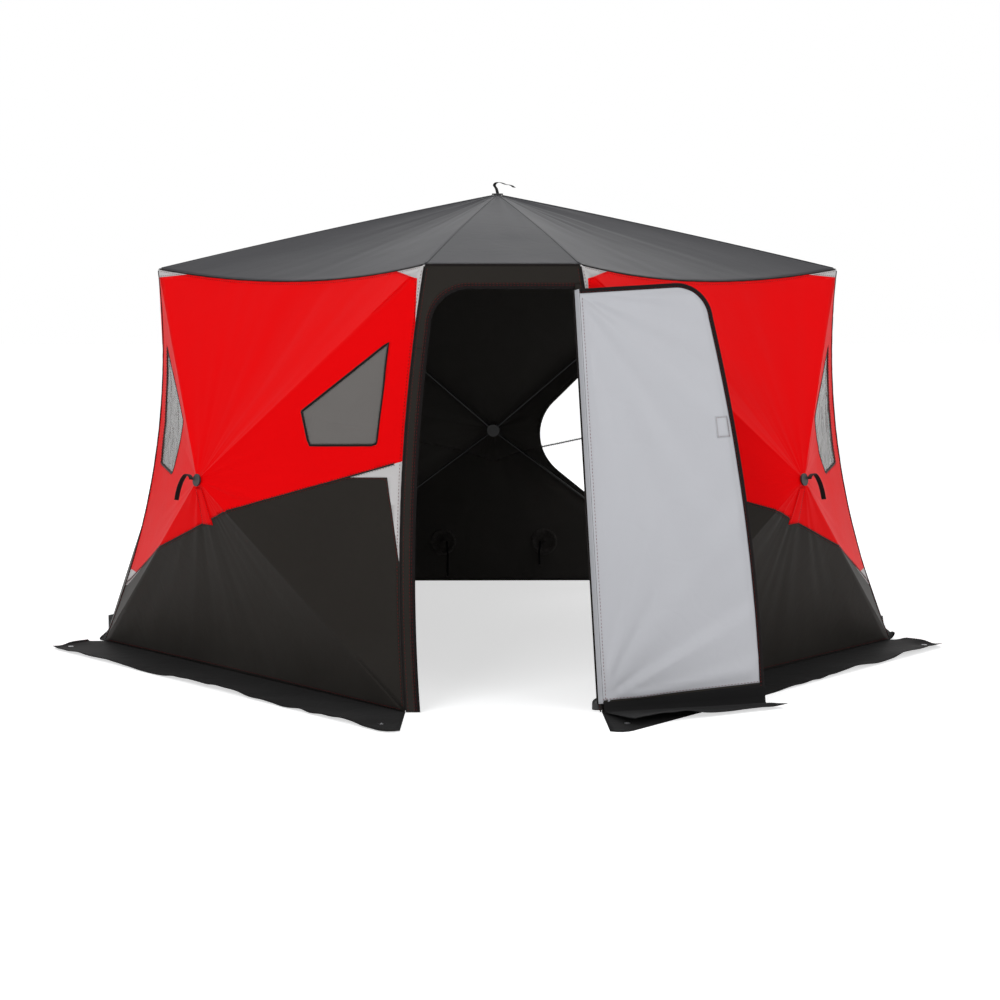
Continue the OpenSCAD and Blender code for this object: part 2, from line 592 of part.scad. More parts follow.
// Piping on the hinge line, and the web that carries the flap from it
module door_hinge_welt() color(BLACK) {
    along_axis(hinge_foot, hinge_dir)
        cylinder(h = norm(from_door(hinge_b) - hinge_foot), r = hinge_r, $fn = 32);
    swung(open_angle) on_door_wall() hull() for (end = [hinge_a, hinge_b]) {
        web_strip = web / flap_step;     // how far the web leans over its depth
        translate([end[0], end[1], 0]) for (z = [0, -flap_step + cloth_t / 2 + gap])
            translate([web_strip * z - cloth_t / 2, end == hinge_a ? 0 : -1, z])
                cube([cloth_t, 1, 0.01]);
    }
}
// The flap's ground skirt, lying in front of its hem
function hem_point(x, y) = swing(from_door([x, y, -flap_step]), open_angle);
skirt_lift = 8;      // height of the flap's skirt over the ground
skirt_fall = 18;     // how far in front of the hem it reaches the ground
door_skirt_near = 300;   // width of it at the hinge end
door_skirt_far = 110;    // width of it at the free end
door_skirt_past = 80;    // reach of it past the free end
door_skirt_t = 1.6;
module door_skirt() color(BLACK) {
    low = hem_h - door_skirt_t - gap;
    a = hem_point(hinge_x(hem_h) - web, low);
    b = hem_point(doorway_left(hem_h, -flap_gap), low);
    along = unit([b[0] - a[0], b[1] - a[1], 0]);
    out = [along[1], -along[0], 0];
    width = norm(b - a);
    ground = [a[0], a[1], skirt_lift];
    rows = [
        [a, b],
        [for (p = [a, b]) [p[0], p[1], skirt_lift] + skirt_fall * out],
        [ground + door_skirt_near * out + skirt_fall * along,
         ground + door_skirt_far * out + (width + door_skirt_past) * along]];
    lift = [0, 0, 1] + 0.7 * out;
    pts = [for (r = rows) for (p = r) p];
    n = len(pts);
    polyhedron(concat(pts, [for (p = pts) p + door_skirt_t * lift]), concat(
        [[0, 2, 3], [0, 3, 1], [2, 4, 5], [2, 5, 3]],
        [for (f = [[0, 3, 2], [0, 1, 3], [2, 5, 4], [2, 3, 5]]) [for (v = f) v + n]],
        [for (e = [[0, 1], [1, 3], [3, 5], [5, 4], [4, 2], [2, 0]])
            for (f = [[e[0], e[1], e[0] + n], [e[1], e[1] + n, e[0] + n]]) f]));
}

front_left_upper();
front_left_lower();
front_left_windows();
front_right_upper();
front_right_lower();
front_right_windows();
back_left_upper();
back_left_lower();
back_left_windows();
back_right_upper();
back_right_lower();
back_right_windows();
back_upper();
back_lower();
corner_patches();
rear_door_zip();
rear_door_roll();
roof_front();
roof_front_left();
roof_front_right();
roof_back_left();
roof_back_right();
roof_back();
corner_seams();
eave_seams();
door_header();
door_jamb_left();
door_jamb_right();
doorway_zip();
front_left_skirt();
front_right_skirt();
back_left_skirt();
back_right_skirt();
back_skirt();
skirt_eyelets();
wall_poles();
roof_poles();
wall_hubs();
roof_hub();
corner_sockets();
feet();
hub_straps();
hub_tabs();
peak_strap();
floor_vents();
door_flap();
door_zip();
door_hinge_welt();
door_skirt();
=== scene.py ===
"""Pop-up fabric ice fishing hut: panels, seams, zips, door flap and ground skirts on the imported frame."""

import json
import math

import bmesh
import bpy
import numpy as np
from bpy.props import FloatProperty, FloatVectorProperty, PointerProperty
from mathutils import Matrix, Vector
from mathutils.bvhtree import BVHTree


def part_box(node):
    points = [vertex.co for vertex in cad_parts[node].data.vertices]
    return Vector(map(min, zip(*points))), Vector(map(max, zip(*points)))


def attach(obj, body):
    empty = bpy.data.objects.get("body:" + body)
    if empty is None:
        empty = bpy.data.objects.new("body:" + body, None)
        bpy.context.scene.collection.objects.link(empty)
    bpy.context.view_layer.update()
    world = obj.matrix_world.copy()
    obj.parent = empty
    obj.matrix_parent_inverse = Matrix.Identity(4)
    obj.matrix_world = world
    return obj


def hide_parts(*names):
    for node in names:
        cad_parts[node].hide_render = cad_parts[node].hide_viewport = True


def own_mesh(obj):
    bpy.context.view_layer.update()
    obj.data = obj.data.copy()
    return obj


bl_info = {
    "name": "Ice Fishing Hut",
    "version": (1, 0, 0),
    "blender": (4, 5, 0),
    "location": "View3D > Sidebar > Hut",
    "description": "Builds the fabric, seams, zips, skirts and door flap of a pop-up ice fishing hut",
    "category": "Add Mesh",
}

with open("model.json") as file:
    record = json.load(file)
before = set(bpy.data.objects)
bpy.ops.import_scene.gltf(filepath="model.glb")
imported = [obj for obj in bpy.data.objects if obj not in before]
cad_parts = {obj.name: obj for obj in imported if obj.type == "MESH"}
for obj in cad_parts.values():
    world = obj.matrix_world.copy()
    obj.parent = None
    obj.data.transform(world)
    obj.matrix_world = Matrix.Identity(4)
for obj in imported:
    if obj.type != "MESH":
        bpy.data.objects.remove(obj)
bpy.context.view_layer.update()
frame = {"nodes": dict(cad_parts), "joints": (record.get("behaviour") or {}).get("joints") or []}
HUT, DOOR = "hut", "door"

# ---- plan and walls, in metres, as in the frame ----
PEAK_H, EAVE_H = 2.050, 1.705
EAVE_PLAN = np.array([[-0.301, -1.501], [-1.544, 0.0], [-0.9645, 1.828], [0.9645, 1.828]])
CENTRE = np.array([0.0, 0.212])
FLARE = 1.171
DOOR_BASE = 0.375
CLOTH = 0.002
THIN, SKIRT_THICK, STRAP_THICK = 0.0008, 0.0014, 0.0016
SAME_POINT = 2e-5
NARROW_FILL = 0.32
HEM_Z = 0.0023
HUB_PUSH, HUB_RISE = 0.310, 0.46
WIDE_BOW, DOOR_BOW = 0.110, 0.050
EAVE_SAG, EAVE_PULL = 0.060, 0.050
# corner numbers; the wall that starts at a corner has its number
FL, L, BL = 0, 1, 2


def unit(v):
    v = np.asarray(v, float)
    return v / np.linalg.norm(v)


def middle_y(node):
    low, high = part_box(node)
    return (low.y + high.y) / 2


MID_Y = CENTRE[1] - middle_y("roof_hub")
BASE_PLAN = CENTRE + FLARE * (EAVE_PLAN - CENTRE)
BASE_PLAN[FL, 0] = -DOOR_BASE
EAVE_PLAN = EAVE_PLAN - [0, MID_Y]
BASE_PLAN = BASE_PLAN - [0, MID_Y]
CENTRE = CENTRE - [0, MID_Y]
PEAK = np.array([CENTRE[0], CENTRE[1], PEAK_H])


def eave(k):
    return np.array([*EAVE_PLAN[k], EAVE_H])


def base(k):
    return np.array([*BASE_PLAN[k], HEM_Z])


def inward(k):
    return unit([*(CENTRE - BASE_PLAN[k]), 0])


def seam(k, t):
    """Points of corner k's bowed seam, from the ground (t = 0) to the eave (t = 1)."""
    t = np.asarray(t, float)[..., None]
    bow = np.array([-DOOR_BOW, 0, 0]) if k == FL else WIDE_BOW * inward(k)
    return base(k) + (eave(k) - base(k)) * t + 4 * t * (1 - t) * bow


def mirrored(p):
    return np.asarray(p, float) * [-1, 1, 1]


class Wall:
    """A wall's own flat frame: x along it, y up its slope, z out of it."""

    def __init__(self, k):
        a, b = base(k), base(k + 1)
        self.k = k
        self.along = unit(b - a)
        self.foot = (a + b) / 2
        rise = (eave(k) + eave(k + 1)) / 2 - self.foot
        self.out = unit(np.cross(rise, self.along))
        self.up = np.cross(self.along, self.out)
        self.hub = self.foot + HUB_RISE * rise + HUB_PUSH * self.out
        self.axes = np.array([self.along, self.up, self.out])

    def local(self, p):
        return (np.asarray(p) - self.foot) @ self.axes.T

    def world(self, q):
        return np.asarray(q) @ self.axes + self.foot

    def eave_edge(self, t):
        t = np.asarray(t, float)[..., None]
        pull = EAVE_SAG * np.array([0, 0, 1]) + EAVE_PULL * np.array([self.out[0], self.out[1], 0])
        return eave(self.k) + (eave(self.k + 1) - eave(self.k)) * t - 4 * t * (1 - t) * pull

    def edges(self):
        """The wall's four edges, each from one corner to the next: corner, eave, corner, hem."""
        k = self.k
        return [
            lambda t: seam(k, t), self.eave_edge, lambda t: seam(k + 1, 1 - t),
            lambda t: base(k + 1) + (base(k) - base(k + 1)) * np.asarray(t)[..., None]]


WALLS = [Wall(k) for k in (FL, L, BL)]

# ---- patterns on the walls' own frames ----
BORDER_RISE, BORDER_SLOPE = 0.627, 0.325
PATCHES = [
    [[-0.720, 1.705], [-0.930, 1.665], [-0.972, 1.415], [-1.4, 1.415], [-1.4, 2.0], [-0.720, 2.0]],
    [[-0.741, 0.868], [-0.936, 0.884], [-1.040, 0.570], [-1.4, 0.570], [-1.4, 1.082]],
    [[0.680, 1.705], [0.975, 1.676], [1.010, 1.600], [1.4, 1.600], [1.4, 2.0], [0.680, 2.0]],
    [[0.897, 0.339], [0.690, 0.402], [1.040, 0.270], [1.4, 0.230], [1.4, 0.350]]]
WINDOWS = [
    [[-0.471, 1.111], [-0.849, 1.409], [-0.860, 1.004], [-0.532, 0.978]],
    [[0.400, 1.040], [0.850, 1.370], [0.885, 0.840], [0.600, 0.800]]]
REAR_POINTS = [[0.133, 0.758], [0.850, 1.540], [0.980, 0.110]]
REAR_RADII = [0.270, 0.090, 0.080]
TAPE = 0.018
PANE_EDGE, PANE_DEPTH, PANE_THICK = 0.012, 0.0026, 0.0006


def turned(k, pts):
    pts = np.array(pts, float)
    return pts * [-1, 1] if k == L else pts


def border(k, x):
    x = np.asarray(x, float)
    return BORDER_RISE + BORDER_SLOPE * (-x if k == FL else x if k == L else np.abs(x))


def rounded(pts, radii, grow, arc=8):
    """A polygon with rounded corners, its edges moved out by grow."""
    out, pts = [], np.array(pts, float)
    for s in range(len(pts)):
        p, a, b = pts[s], unit(pts[s - 1] - pts[s]), unit(pts[(s + 1) % len(pts)] - pts[s])
        half = math.acos(a @ b) / 2
        mid, back = p + unit(a + b) * radii[s] / math.sin(half), -unit(a + b)
        turn = -1 if a[0] * b[1] - a[1] * b[0] > 0 else 1
        for q in range(-arc, arc + 1):
            g = turn * (math.pi / 2 - half) * q / arc
            out.append(mid + (radii[s] + grow) * np.array(
                [back[0] * math.cos(g) - back[1] * math.sin(g), back[0] * math.sin(g) + back[1] * math.cos(g)]))
    return np.array(out)


def grown(pts, by):
    pts = np.array(pts, float)
    mid = (pts.min(0) + pts.max(0)) / 2
    return pts + by * (pts - mid) / np.linalg.norm(pts - mid, axis=1)[:, None]


def inside(poly, pts):
    """Which of pts lie inside a polygon."""
    x, y = pts[:, 0], pts[:, 1]
    found = np.zeros(len(pts), bool)
    for (x0, y0), (x1, y1) in zip(poly, np.roll(poly, -1, 0)):
        span = (y0 > y) != (y1 > y)
        with np.errstate(divide="ignore", invalid="ignore"):
            found ^= span & (x < (x1 - x0) * (y - y0) / (y1 - y0 + 1e-15) + x0)
    return found


def noise(x, y, seed):
    """Smooth seeded noise from -1 to 1."""
    x, y = np.asarray(x, float), np.asarray(y, float)
    i, j = np.floor(x).astype(np.int64), np.floor(y).astype(np.int64)
    fx, fy = x - i, y - j

    def hashed(i, j):
        n = (i * 374761393 + j * 668265263 + seed * 974634777) & 0xFFFFFFFF
        n = ((n ^ (n >> 13)) * 1274126177) & 0xFFFFFFFF
        return ((n ^ (n >> 16)) & 0xFFFF) / 32767.5 - 1

    sx, sy = fx * fx * (3 - 2 * fx), fy * fy * (3 - 2 * fy)
    low = hashed(i, j) * (1 - sx) + hashed(i + 1, j) * sx
    high = hashed(i, j + 1) * (1 - sx) + hashed(i + 1, j + 1) * sx
    return low * (1 - sy) + high * sy


def run_along(path):
    """How far along a line each of its points lies."""
    return np.r_[0, np.cumsum(np.linalg.norm(np.diff(path, axis=0), axis=1))]


def spaced(path, count):
    """A line's points again, count of them, evenly spaced."""
    path, run = np.asarray(path, float), run_along(path)
    at = np.linspace(0, run[-1], count)
    return np.stack([np.interp(at, run, path[:, c]) for c in range(path.shape[1])], 1)


def resampled(path, step):
    """A line's points again, evenly spaced at about step."""
    return spaced(path, max(2, int(round(run_along(path)[-1] / step)) + 1))


def sideways(path):
    """The direction to the left of a flat line, at each of its points."""
    d = np.gradient(path, axis=0)
    d /= np.linalg.norm(d, axis=1)[:, None] + 1e-12
    return np.stack([-d[:, 1], d[:, 0]], 1)


# ---- meshes ----
def mesh_object(name, verts, faces, smooth=True):
    """A new object from vertices and faces, at the origin and in the scene."""
    mesh = bpy.data.meshes.new(name)
    mesh.from_pydata([tuple(v) for v in np.asarray(verts, float)], [], [list(map(int, f)) for f in faces])
    mesh.update()
    if smooth:
        mesh.shade_smooth()
    obj = bpy.data.objects.new(name, mesh)
    bpy.context.scene.collection.objects.link(obj)
    return obj


def grid_faces(rows, n):
    """Faces of an open sheet of rows of n points."""
    return [(i * n + j, (i + 1) * n + j, (i + 1) * n + j + 1, i * n + j + 1)
            for i in range(rows - 1) for j in range(n - 1)]


def ring_faces(rows, n):
    """Faces of a tube of rows of n points, each row closed on itself."""
    return [(i * n + j, i * n + (j + 1) % n, (i + 1) * n + (j + 1) % n, (i + 1) * n + j)
            for i in range(rows - 1) for j in range(n)]


def wound(faces, verts, middle, out):
    """The faces of a sheet, turned over if its face number middle looks against out."""
    a, b, c = (verts[i] for i in faces[middle][:3])
    return [f[::-1] for f in faces] if np.cross(b - a, c - a) @ out < 0 else faces


def baked(obj):
    """Replace an object's mesh with its evaluated one and drop its modifiers."""
    bpy.context.view_layer.update()
    graph = bpy.context.evaluated_depsgraph_get()
    mesh = bpy.data.meshes.new_from_object(obj.evaluated_get(graph), depsgraph=graph)
    obj.modifiers.clear()
    old = obj.data
    obj.data = mesh
    bpy.data.meshes.remove(old)
    mesh.name = obj.name
    return obj


def thickened(obj, thick=CLOTH * 0.8, offset=-1.0, lining=True):
    """Give a sheet its thickness; its inner side takes the second material."""
    solid = obj.modifiers.new("thickness", "SOLIDIFY")
    solid.thickness, solid.offset = thick, offset
    solid.use_quality_normals = True
    if lining:
        solid.material_offset = 1
    return baked(obj)


def facing(obj, outwards):
    """Turn a sheet's faces so that they look along outwards on average."""
    total = Vector((0, 0, 0))
    for p in obj.data.polygons:
        total += p.normal * p.area
    if total.dot(Vector(outwards)) < 0:
        obj.data.flip_normals()
    return obj


def one_side_area(obj):
    """The area of a sheet that has no thickness yet."""
    return sum(p.area for p in obj.data.polygons)


def spans(obj):
    """A sheet's two largest extents."""
    co = np.array([v.co for v in obj.data.vertices], float)
    co = co - co.mean(0)
    _, _, axes = np.linalg.svd(co, full_matrices=False)
    size = np.ptp(co @ axes.T, axis=0)
    return float(size[1]), float(size[0])


def cloth(obj, area=None):
    """Work out a thin sheet's width and length from the size it was cut to, and hand the sheet back as it is.
    """
    area = area or one_side_area(obj) / 2
    width, length = spans(obj)
    width = max(width, area / length * 1.02, 0.011)
    # several narrow pieces joined in one count as a strip half as long as their box
    if area < NARROW_FILL * width * length:
        width = area / (0.5 * length)
    return obj


def finished(obj, body, slot, materials, replaced=()):
    """Give a piece its materials and its body, and hide the nodes that it stands for; slot is not used."""
    obj.data.materials.clear()
    for m in materials:
        obj.data.materials.append(m)
    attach(obj, body)
    if replaced:
        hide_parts(*replaced)
    return obj


def sewn_sheet(obj, body, slot, materials, replaced, thick=CLOTH * 0.8, offset=-1.0):
    """Finish a sheet as cloth: its materials, its body and its thickness."""
    area = one_side_area(obj)
    finished(obj, body, slot, materials, replaced)
    return cloth(thickened(obj, thick, offset, lining=len(materials) > 1), area)


def tube(points, radius, sides=12, squash=1.0):
    """Vertices and faces of a round closed tube along points."""
    p = np.asarray(points, float)
    t = np.gradient(p, axis=0)
    t /= np.linalg.norm(t, axis=1)[:, None]
    ref = np.array([0, 0, 1.0]) if abs(t[0][2]) < 0.8 else np.array([1.0, 0, 0])
    x = np.zeros_like(p)
    x[0] = unit(np.cross(ref, t[0]))
    for i in range(1, len(p)):
        x[i] = unit(x[i - 1] - t[i] * (x[i - 1] @ t[i]))
    y = np.cross(t, x)
    ang = np.linspace(0, 2 * np.pi, sides, endpoint=False)
    radius = np.broadcast_to(radius, len(p))
    rings = p[:, None] + radius[:, None, None] * (
        x[:, None] * np.cos(ang)[None, :, None] + squash * y[:, None] * np.sin(ang)[None, :, None])
    ends = [tuple(range(sides - 1, -1, -1)), tuple((len(p) - 1) * sides + j for j in range(sides))]
    return rings.reshape(-1, 3), ring_faces(len(p), sides) + ends


class Parts:
    """Collects vertices and faces of several shapes into one mesh."""

    def __init__(self):
        self.verts, self.faces, self.count = [], [], 0

    def add(self, verts, faces):
        verts = np.asarray(verts, float).reshape(-1, 3)
        self.verts.append(verts)
        self.faces += [tuple(v + self.count for v in f) for f in faces]
        self.count += len(verts)

    def object(self, name, smooth=True):
        return mesh_object(name, np.concatenate(self.verts), self.faces, smooth)


def merged(obj):
    """Join the points of a sheet that meet at its tip."""
    bm = bmesh.new()
    bm.from_mesh(obj.data)
    bmesh.ops.remove_doubles(bm, verts=bm.verts, dist=SAME_POINT)
    bm.to_mesh(obj.data)
    bm.free()


def outward_normals(obj):
    """Join a closed shape's double points and turn its faces outwards."""
    bm = bmesh.new()
    bm.from_mesh(obj.data)
    bmesh.ops.remove_doubles(bm, verts=bm.verts, dist=1e-6)
    bmesh.ops.recalc_face_normals(bm, faces=bm.faces)
    bm.to_mesh(obj.data)
    bm.free()
    return obj


# ---- stitch and zip rows, as geometry nodes ----
ZIP_TOOTH = (0.004, 0.0022, 0.006)  # pitch, length and width
FINE_STITCH, WIDE_STITCH = 0.0016, 0.0018


def row_tree():
    """A row of small rounded beads along a polyline: stitches or zip teeth."""
    tree = bpy.data.node_groups.new("bead row", "GeometryNodeTree")
    face = tree.interface
    face.new_socket("Geometry", in_out="INPUT", socket_type="NodeSocketGeometry")
    sockets = {}
    for label, value in (("Pitch", 0.012), ("Bead length", 0.008), ("Bead width", 0.0016),
                         ("Bead height", 0.0012)):
        s = face.new_socket(label, in_out="INPUT", socket_type="NodeSocketFloat")
        s.default_value, s.min_value = value, 0.0001
        sockets[label] = s.identifier
    s = face.new_socket("Thread", in_out="INPUT", socket_type="NodeSocketMaterial")
    sockets["Thread"] = s.identifier
    face.new_socket("Geometry", in_out="OUTPUT", socket_type="NodeSocketGeometry")
    n, link = tree.nodes, tree.links.new
    source, sink = n.new("NodeGroupInput"), n.new("NodeGroupOutput")
    curve = n.new("GeometryNodeMeshToCurve")
    even = n.new("GeometryNodeResampleCurve")
    even.mode = "LENGTH"
    bead = n.new("GeometryNodeMeshUVSphere")
    bead.inputs["Segments"].default_value = 6
    bead.inputs["Rings"].default_value = 4
    bead.inputs["Radius"].default_value = 0.5
    shape = n.new("ShaderNodeCombineXYZ")
    scale = n.new("GeometryNodeTransform")
    tangent = n.new("GeometryNodeInputTangent")
    turn = n.new("FunctionNodeAlignRotationToVector")
    turn.axis = "X"
    place = n.new("GeometryNodeInstanceOnPoints")
    real = n.new("GeometryNodeRealizeInstances")
    paint = n.new("GeometryNodeSetMaterial")
    link(source.outputs["Geometry"], curve.inputs["Mesh"])
    link(curve.outputs["Curve"], even.inputs["Curve"])
    link(source.outputs["Pitch"], even.inputs["Length"])
    link(source.outputs["Bead length"], shape.inputs["X"])
    link(source.outputs["Bead width"], shape.inputs["Y"])
    link(source.outputs["Bead height"], shape.inputs["Z"])
    link(bead.outputs["Mesh"], scale.inputs["Geometry"])
    link(shape.outputs["Vector"], scale.inputs["Scale"])
    link(tangent.outputs["Tangent"], turn.inputs["Vector"])
    link(even.outputs["Curve"], place.inputs["Points"])
    link(scale.outputs["Geometry"], place.inputs["Instance"])
    link(turn.outputs["Rotation"], place.inputs["Rotation"])
    link(place.outputs["Instances"], real.inputs["Geometry"])
    link(real.outputs["Geometry"], paint.inputs["Geometry"])
    link(source.outputs["Thread"], paint.inputs["Material"])
    link(paint.outputs["Geometry"], sink.inputs["Geometry"])
    tree["sockets"] = json.dumps(sockets)
    return tree


def bead_row(name, paths, thread, pitch, length, width, height=None):
    """Rows of stitches or teeth along paths, as one plain mesh."""
    tree = bpy.data.node_groups.get("bead row") or row_tree()
    ids = json.loads(tree["sockets"])
    verts, edges, at = [], [], 0
    for path in paths:
        verts += [tuple(p) for p in path]
        edges += [(at + i, at + i + 1) for i in range(len(path) - 1)]
        at += len(path)
    mesh = bpy.data.meshes.new(name)
    mesh.from_pydata(verts, edges, [])
    obj = bpy.data.objects.new(name, mesh)
    bpy.context.scene.collection.objects.link(obj)
    mod = obj.modifiers.new("row", "NODES")
    mod.node_group = tree
    for label, value in (("Pitch", pitch), ("Bead length", length), ("Bead width", width),
                         ("Bead height", height or width), ("Thread", thread)):
        mod[ids[label]] = value
    baked(obj)
    obj.data.shade_smooth()
    return obj


def stitches(name, paths, thread, width, body, slot):
    """Rows of the hut's usual stitches along paths."""
    row = bead_row(name, paths, thread, size().stitch_pitch, size().stitch_length, width)
    return finished(row, body, slot, [thread])


# ---- finishes ----
def shade(r, g, b):
    """A colour as it shows on a screen, from 0 to 255, as linear light."""
    return tuple((c / 255 / 12.92) if c <= 10 else ((c / 255 + 0.055) / 1.055) ** 2.4 for c in (r, g, b))


def size():
    return bpy.context.scene.hut_size


def look():
    return bpy.context.scene.hut_look


def blank(name):
    """A new material with its shader, and short ways to add nodes to it and to join them."""
    mat = bpy.data.materials.new(name)
    mat.use_nodes = True
    tree = mat.node_tree

    def add(kind, values=(), **settings):
        node = tree.nodes.new("ShaderNode" + kind)
        for key, value in settings.items():
            setattr(node, key, value)
        for socket, value in dict(values).items():
            node.inputs[socket].default_value = value
        return node

    return mat, tree.nodes["Principled BSDF"], add, tree.links.new


def toned(add, colour, vary):
    """A mix of a colour's darker and lighter shade."""
    dark, light = [c * (1 - vary) for c in colour], [min(1, c * (1 + vary)) for c in colour]
    return add("Mix", {6: (*dark, 1), 7: (*light, 1)}, data_type="RGBA")


def fabric(name, colour, rough=0.5, crumple=0.3, fine=0.12, vary=0.12, sheen=0.1, weave=230.0, metal=0.0,
           dust=0.0, gloss_level=0.3, ior=1.14):
    """Coated woven cloth: weave and crumple relief, cloudy colour, uneven gloss, dust near the ground."""
    if name in bpy.data.materials:
        return bpy.data.materials[name]
    mat, skin, add, link = blank(name)
    for socket, value in (("Metallic", metal), ("Sheen Weight", sheen), ("Sheen Roughness", 0.5),
                          ("Specular IOR Level", gloss_level), ("IOR", ior)):
        skin.inputs[socket].default_value = value
    place = add("TexCoord").outputs["Object"]
    cloud = add("TexNoise", {"Scale": 2.4, "Detail": 5})
    tone = toned(add, colour, vary)
    link(place, cloud.inputs["Vector"])
    link(cloud.outputs["Fac"], tone.inputs[0])
    shown = tone.outputs[2]
    if dust:
        apart = add("SeparateXYZ")
        low = add("MapRange", {"From Min": 0.30, "From Max": 0.0})
        grime = add("Math", operation="MULTIPLY")
        weight = add("Math", {1: dust}, operation="MULTIPLY")
        grimy = add("Mix", {7: (*shade(120, 118, 115), 1)}, data_type="RGBA")
        link(place, apart.inputs[0])
        link(apart.outputs["Z"], low.inputs["Value"])
        link(low.outputs["Result"], grime.inputs[0])
        link(cloud.outputs["Fac"], grime.inputs[1])
        link(grime.outputs[0], weight.inputs[0])
        link(weight.outputs[0], grimy.inputs[0])
        link(shown, grimy.inputs[6])
        shown = grimy.outputs[2]
    link(shown, skin.inputs["Base Color"])
    gloss = add("MapRange", {"To Min": rough - 0.07, "To Max": rough + 0.07})
    link(cloud.outputs["Fac"], gloss.inputs["Value"])
    link(gloss.outputs["Result"], skin.inputs["Roughness"])
    # relief: creases from folding, ripples, then the weave
    warp = add("TexNoise", {"Scale": 5.0})
    shift = add("VectorMath", {1: (0.16, 0.16, 0.16)}, operation="MULTIPLY_ADD")
    crease = add("TexVoronoi", {"Scale": 6.5}, feature="DISTANCE_TO_EDGE")
    fold = add("MapRange", {"From Max": 0.12})
    ripple = add("TexNoise", {"Scale": 16.0, "Detail": 4})
    cross = add("Math", operation="MAXIMUM")
    link(place, warp.inputs["Vector"])
    link(warp.outputs["Color"], shift.inputs[0])
    link(place, shift.inputs[2])
    link(shift.outputs[0], crease.inputs["Vector"])
    link(crease.outputs["Distance"], fold.inputs["Value"])
    link(place, ripple.inputs["Vector"])
    for s, direction in enumerate(("X", "Z")):
        band = add("TexWave", {"Scale": weave, "Distortion": 0.4}, bands_direction=direction)
        link(place, band.inputs["Vector"])
        link(band.outputs["Fac"], cross.inputs[s])
    under = None
    for height, strength, distance in (
            (fold.outputs["Result"], crumple, 0.004), (ripple.outputs["Fac"], fine, 0.006),
            (cross.outputs[0], 0.08, 0.0004)):
        bump = add("Bump", {"Strength": strength, "Distance": distance})
        link(height, bump.inputs["Height"])
        if under:
            link(under, bump.inputs["Normal"])
        under = bump.outputs["Normal"]
    link(under, skin.inputs["Normal"])
    return mat


def moulded(name, colour, rough=0.42, metal=0.0, grain=600.0):
    """Moulded plastic or plated metal with a fine grain and uneven gloss."""
    mat, skin, add, link = blank(name)
    skin.inputs["Metallic"].default_value = metal
    place = add("TexCoord").outputs["Object"]
    speck, cloud = add("TexNoise", {"Scale": grain}), add("TexNoise", {"Scale": 30.0})
    tone = toned(add, colour, 0.15)
    gloss = add("MapRange", {"To Min": rough - 0.08, "To Max": rough + 0.1})
    bump = add("Bump", {"Strength": 0.1, "Distance": 0.0003})
    for texture in (speck, cloud):
        link(place, texture.inputs["Vector"])
    link(cloud.outputs["Fac"], tone.inputs[0])
    link(tone.outputs[2], skin.inputs["Base Color"])
    link(cloud.outputs["Fac"], gloss.inputs["Value"])
    link(gloss.outputs["Result"], skin.inputs["Roughness"])
    link(speck.outputs["Fac"], bump.inputs["Height"])
    link(bump.outputs["Normal"], skin.inputs["Normal"])
    return mat


def window_sheet():
    """Clear flexible window sheet with soft waves; its light grey colour is painted reflection, standing in for
    the light that the clear sheet reflects.
    """
    mat = fabric("clear window sheet", tuple(look().window), rough=0.16, crumple=0.35, fine=0.35, vary=0.08,
                 sheen=0.0, weave=40.0, gloss_level=0.4, ior=1.45)
    mat.node_tree.nodes["Principled BSDF"].inputs["Alpha"].default_value = look().window_cover
    mat.surface_render_method = "BLENDED"
    return mat


def red_cloth():
    return fabric("red coated cloth", tuple(look().red), rough=0.5, crumple=0.05, fine=0.10, vary=0.05,
                  sheen=0.0)


def black_cloth():
    return fabric("black coated cloth", tuple(look().black), rough=0.5, crumple=0.06, fine=0.12, sheen=0.03,
                  dust=0.10)


def roof_cloth():
    return fabric("roof cloth", tuple(look().roof), rough=0.55, crumple=0.05, fine=0.08, sheen=0.04)


def grey_cloth():
    return fabric("light grey cloth", tuple(look().patch), rough=0.5, crumple=0.05, fine=0.08, sheen=0.02)


def dark_lining():
    return fabric("dark lining", tuple(look().lining), rough=0.55, crumple=0.12, fine=0.14, sheen=0.04)


def silver_lining():
    return fabric("silver lining", tuple(look().silver), rough=0.45, crumple=0.06, fine=0.10, vary=0.03,
                  metal=0.1, sheen=0.0)


def skirt_cloth():
    return fabric("skirt cloth", tuple(look().skirt), rough=0.65, crumple=0.12, fine=0.2, sheen=0.03, dust=0.06)


def piping_cloth():
    return fabric("piping tape", tuple(look().piping), rough=0.55, crumple=0.1, fine=0.2, weave=120.0)


def webbing():
    return fabric("black webbing", tuple(look().skirt), rough=0.6, crumple=0.05, fine=0.1, sheen=0.2,
                  weave=90.0)


def zip_tape():
    return fabric("zip tape", tuple(look().piping), rough=0.6, crumple=0.05, fine=0.1, weave=160.0)


def red_thread():
    return fabric("dark red thread", tuple(look().thread), rough=0.6, crumple=0.0, fine=0.1)


def black_thread():
    return fabric("black thread", tuple(look().skirt), rough=0.5, crumple=0.0, fine=0.1)


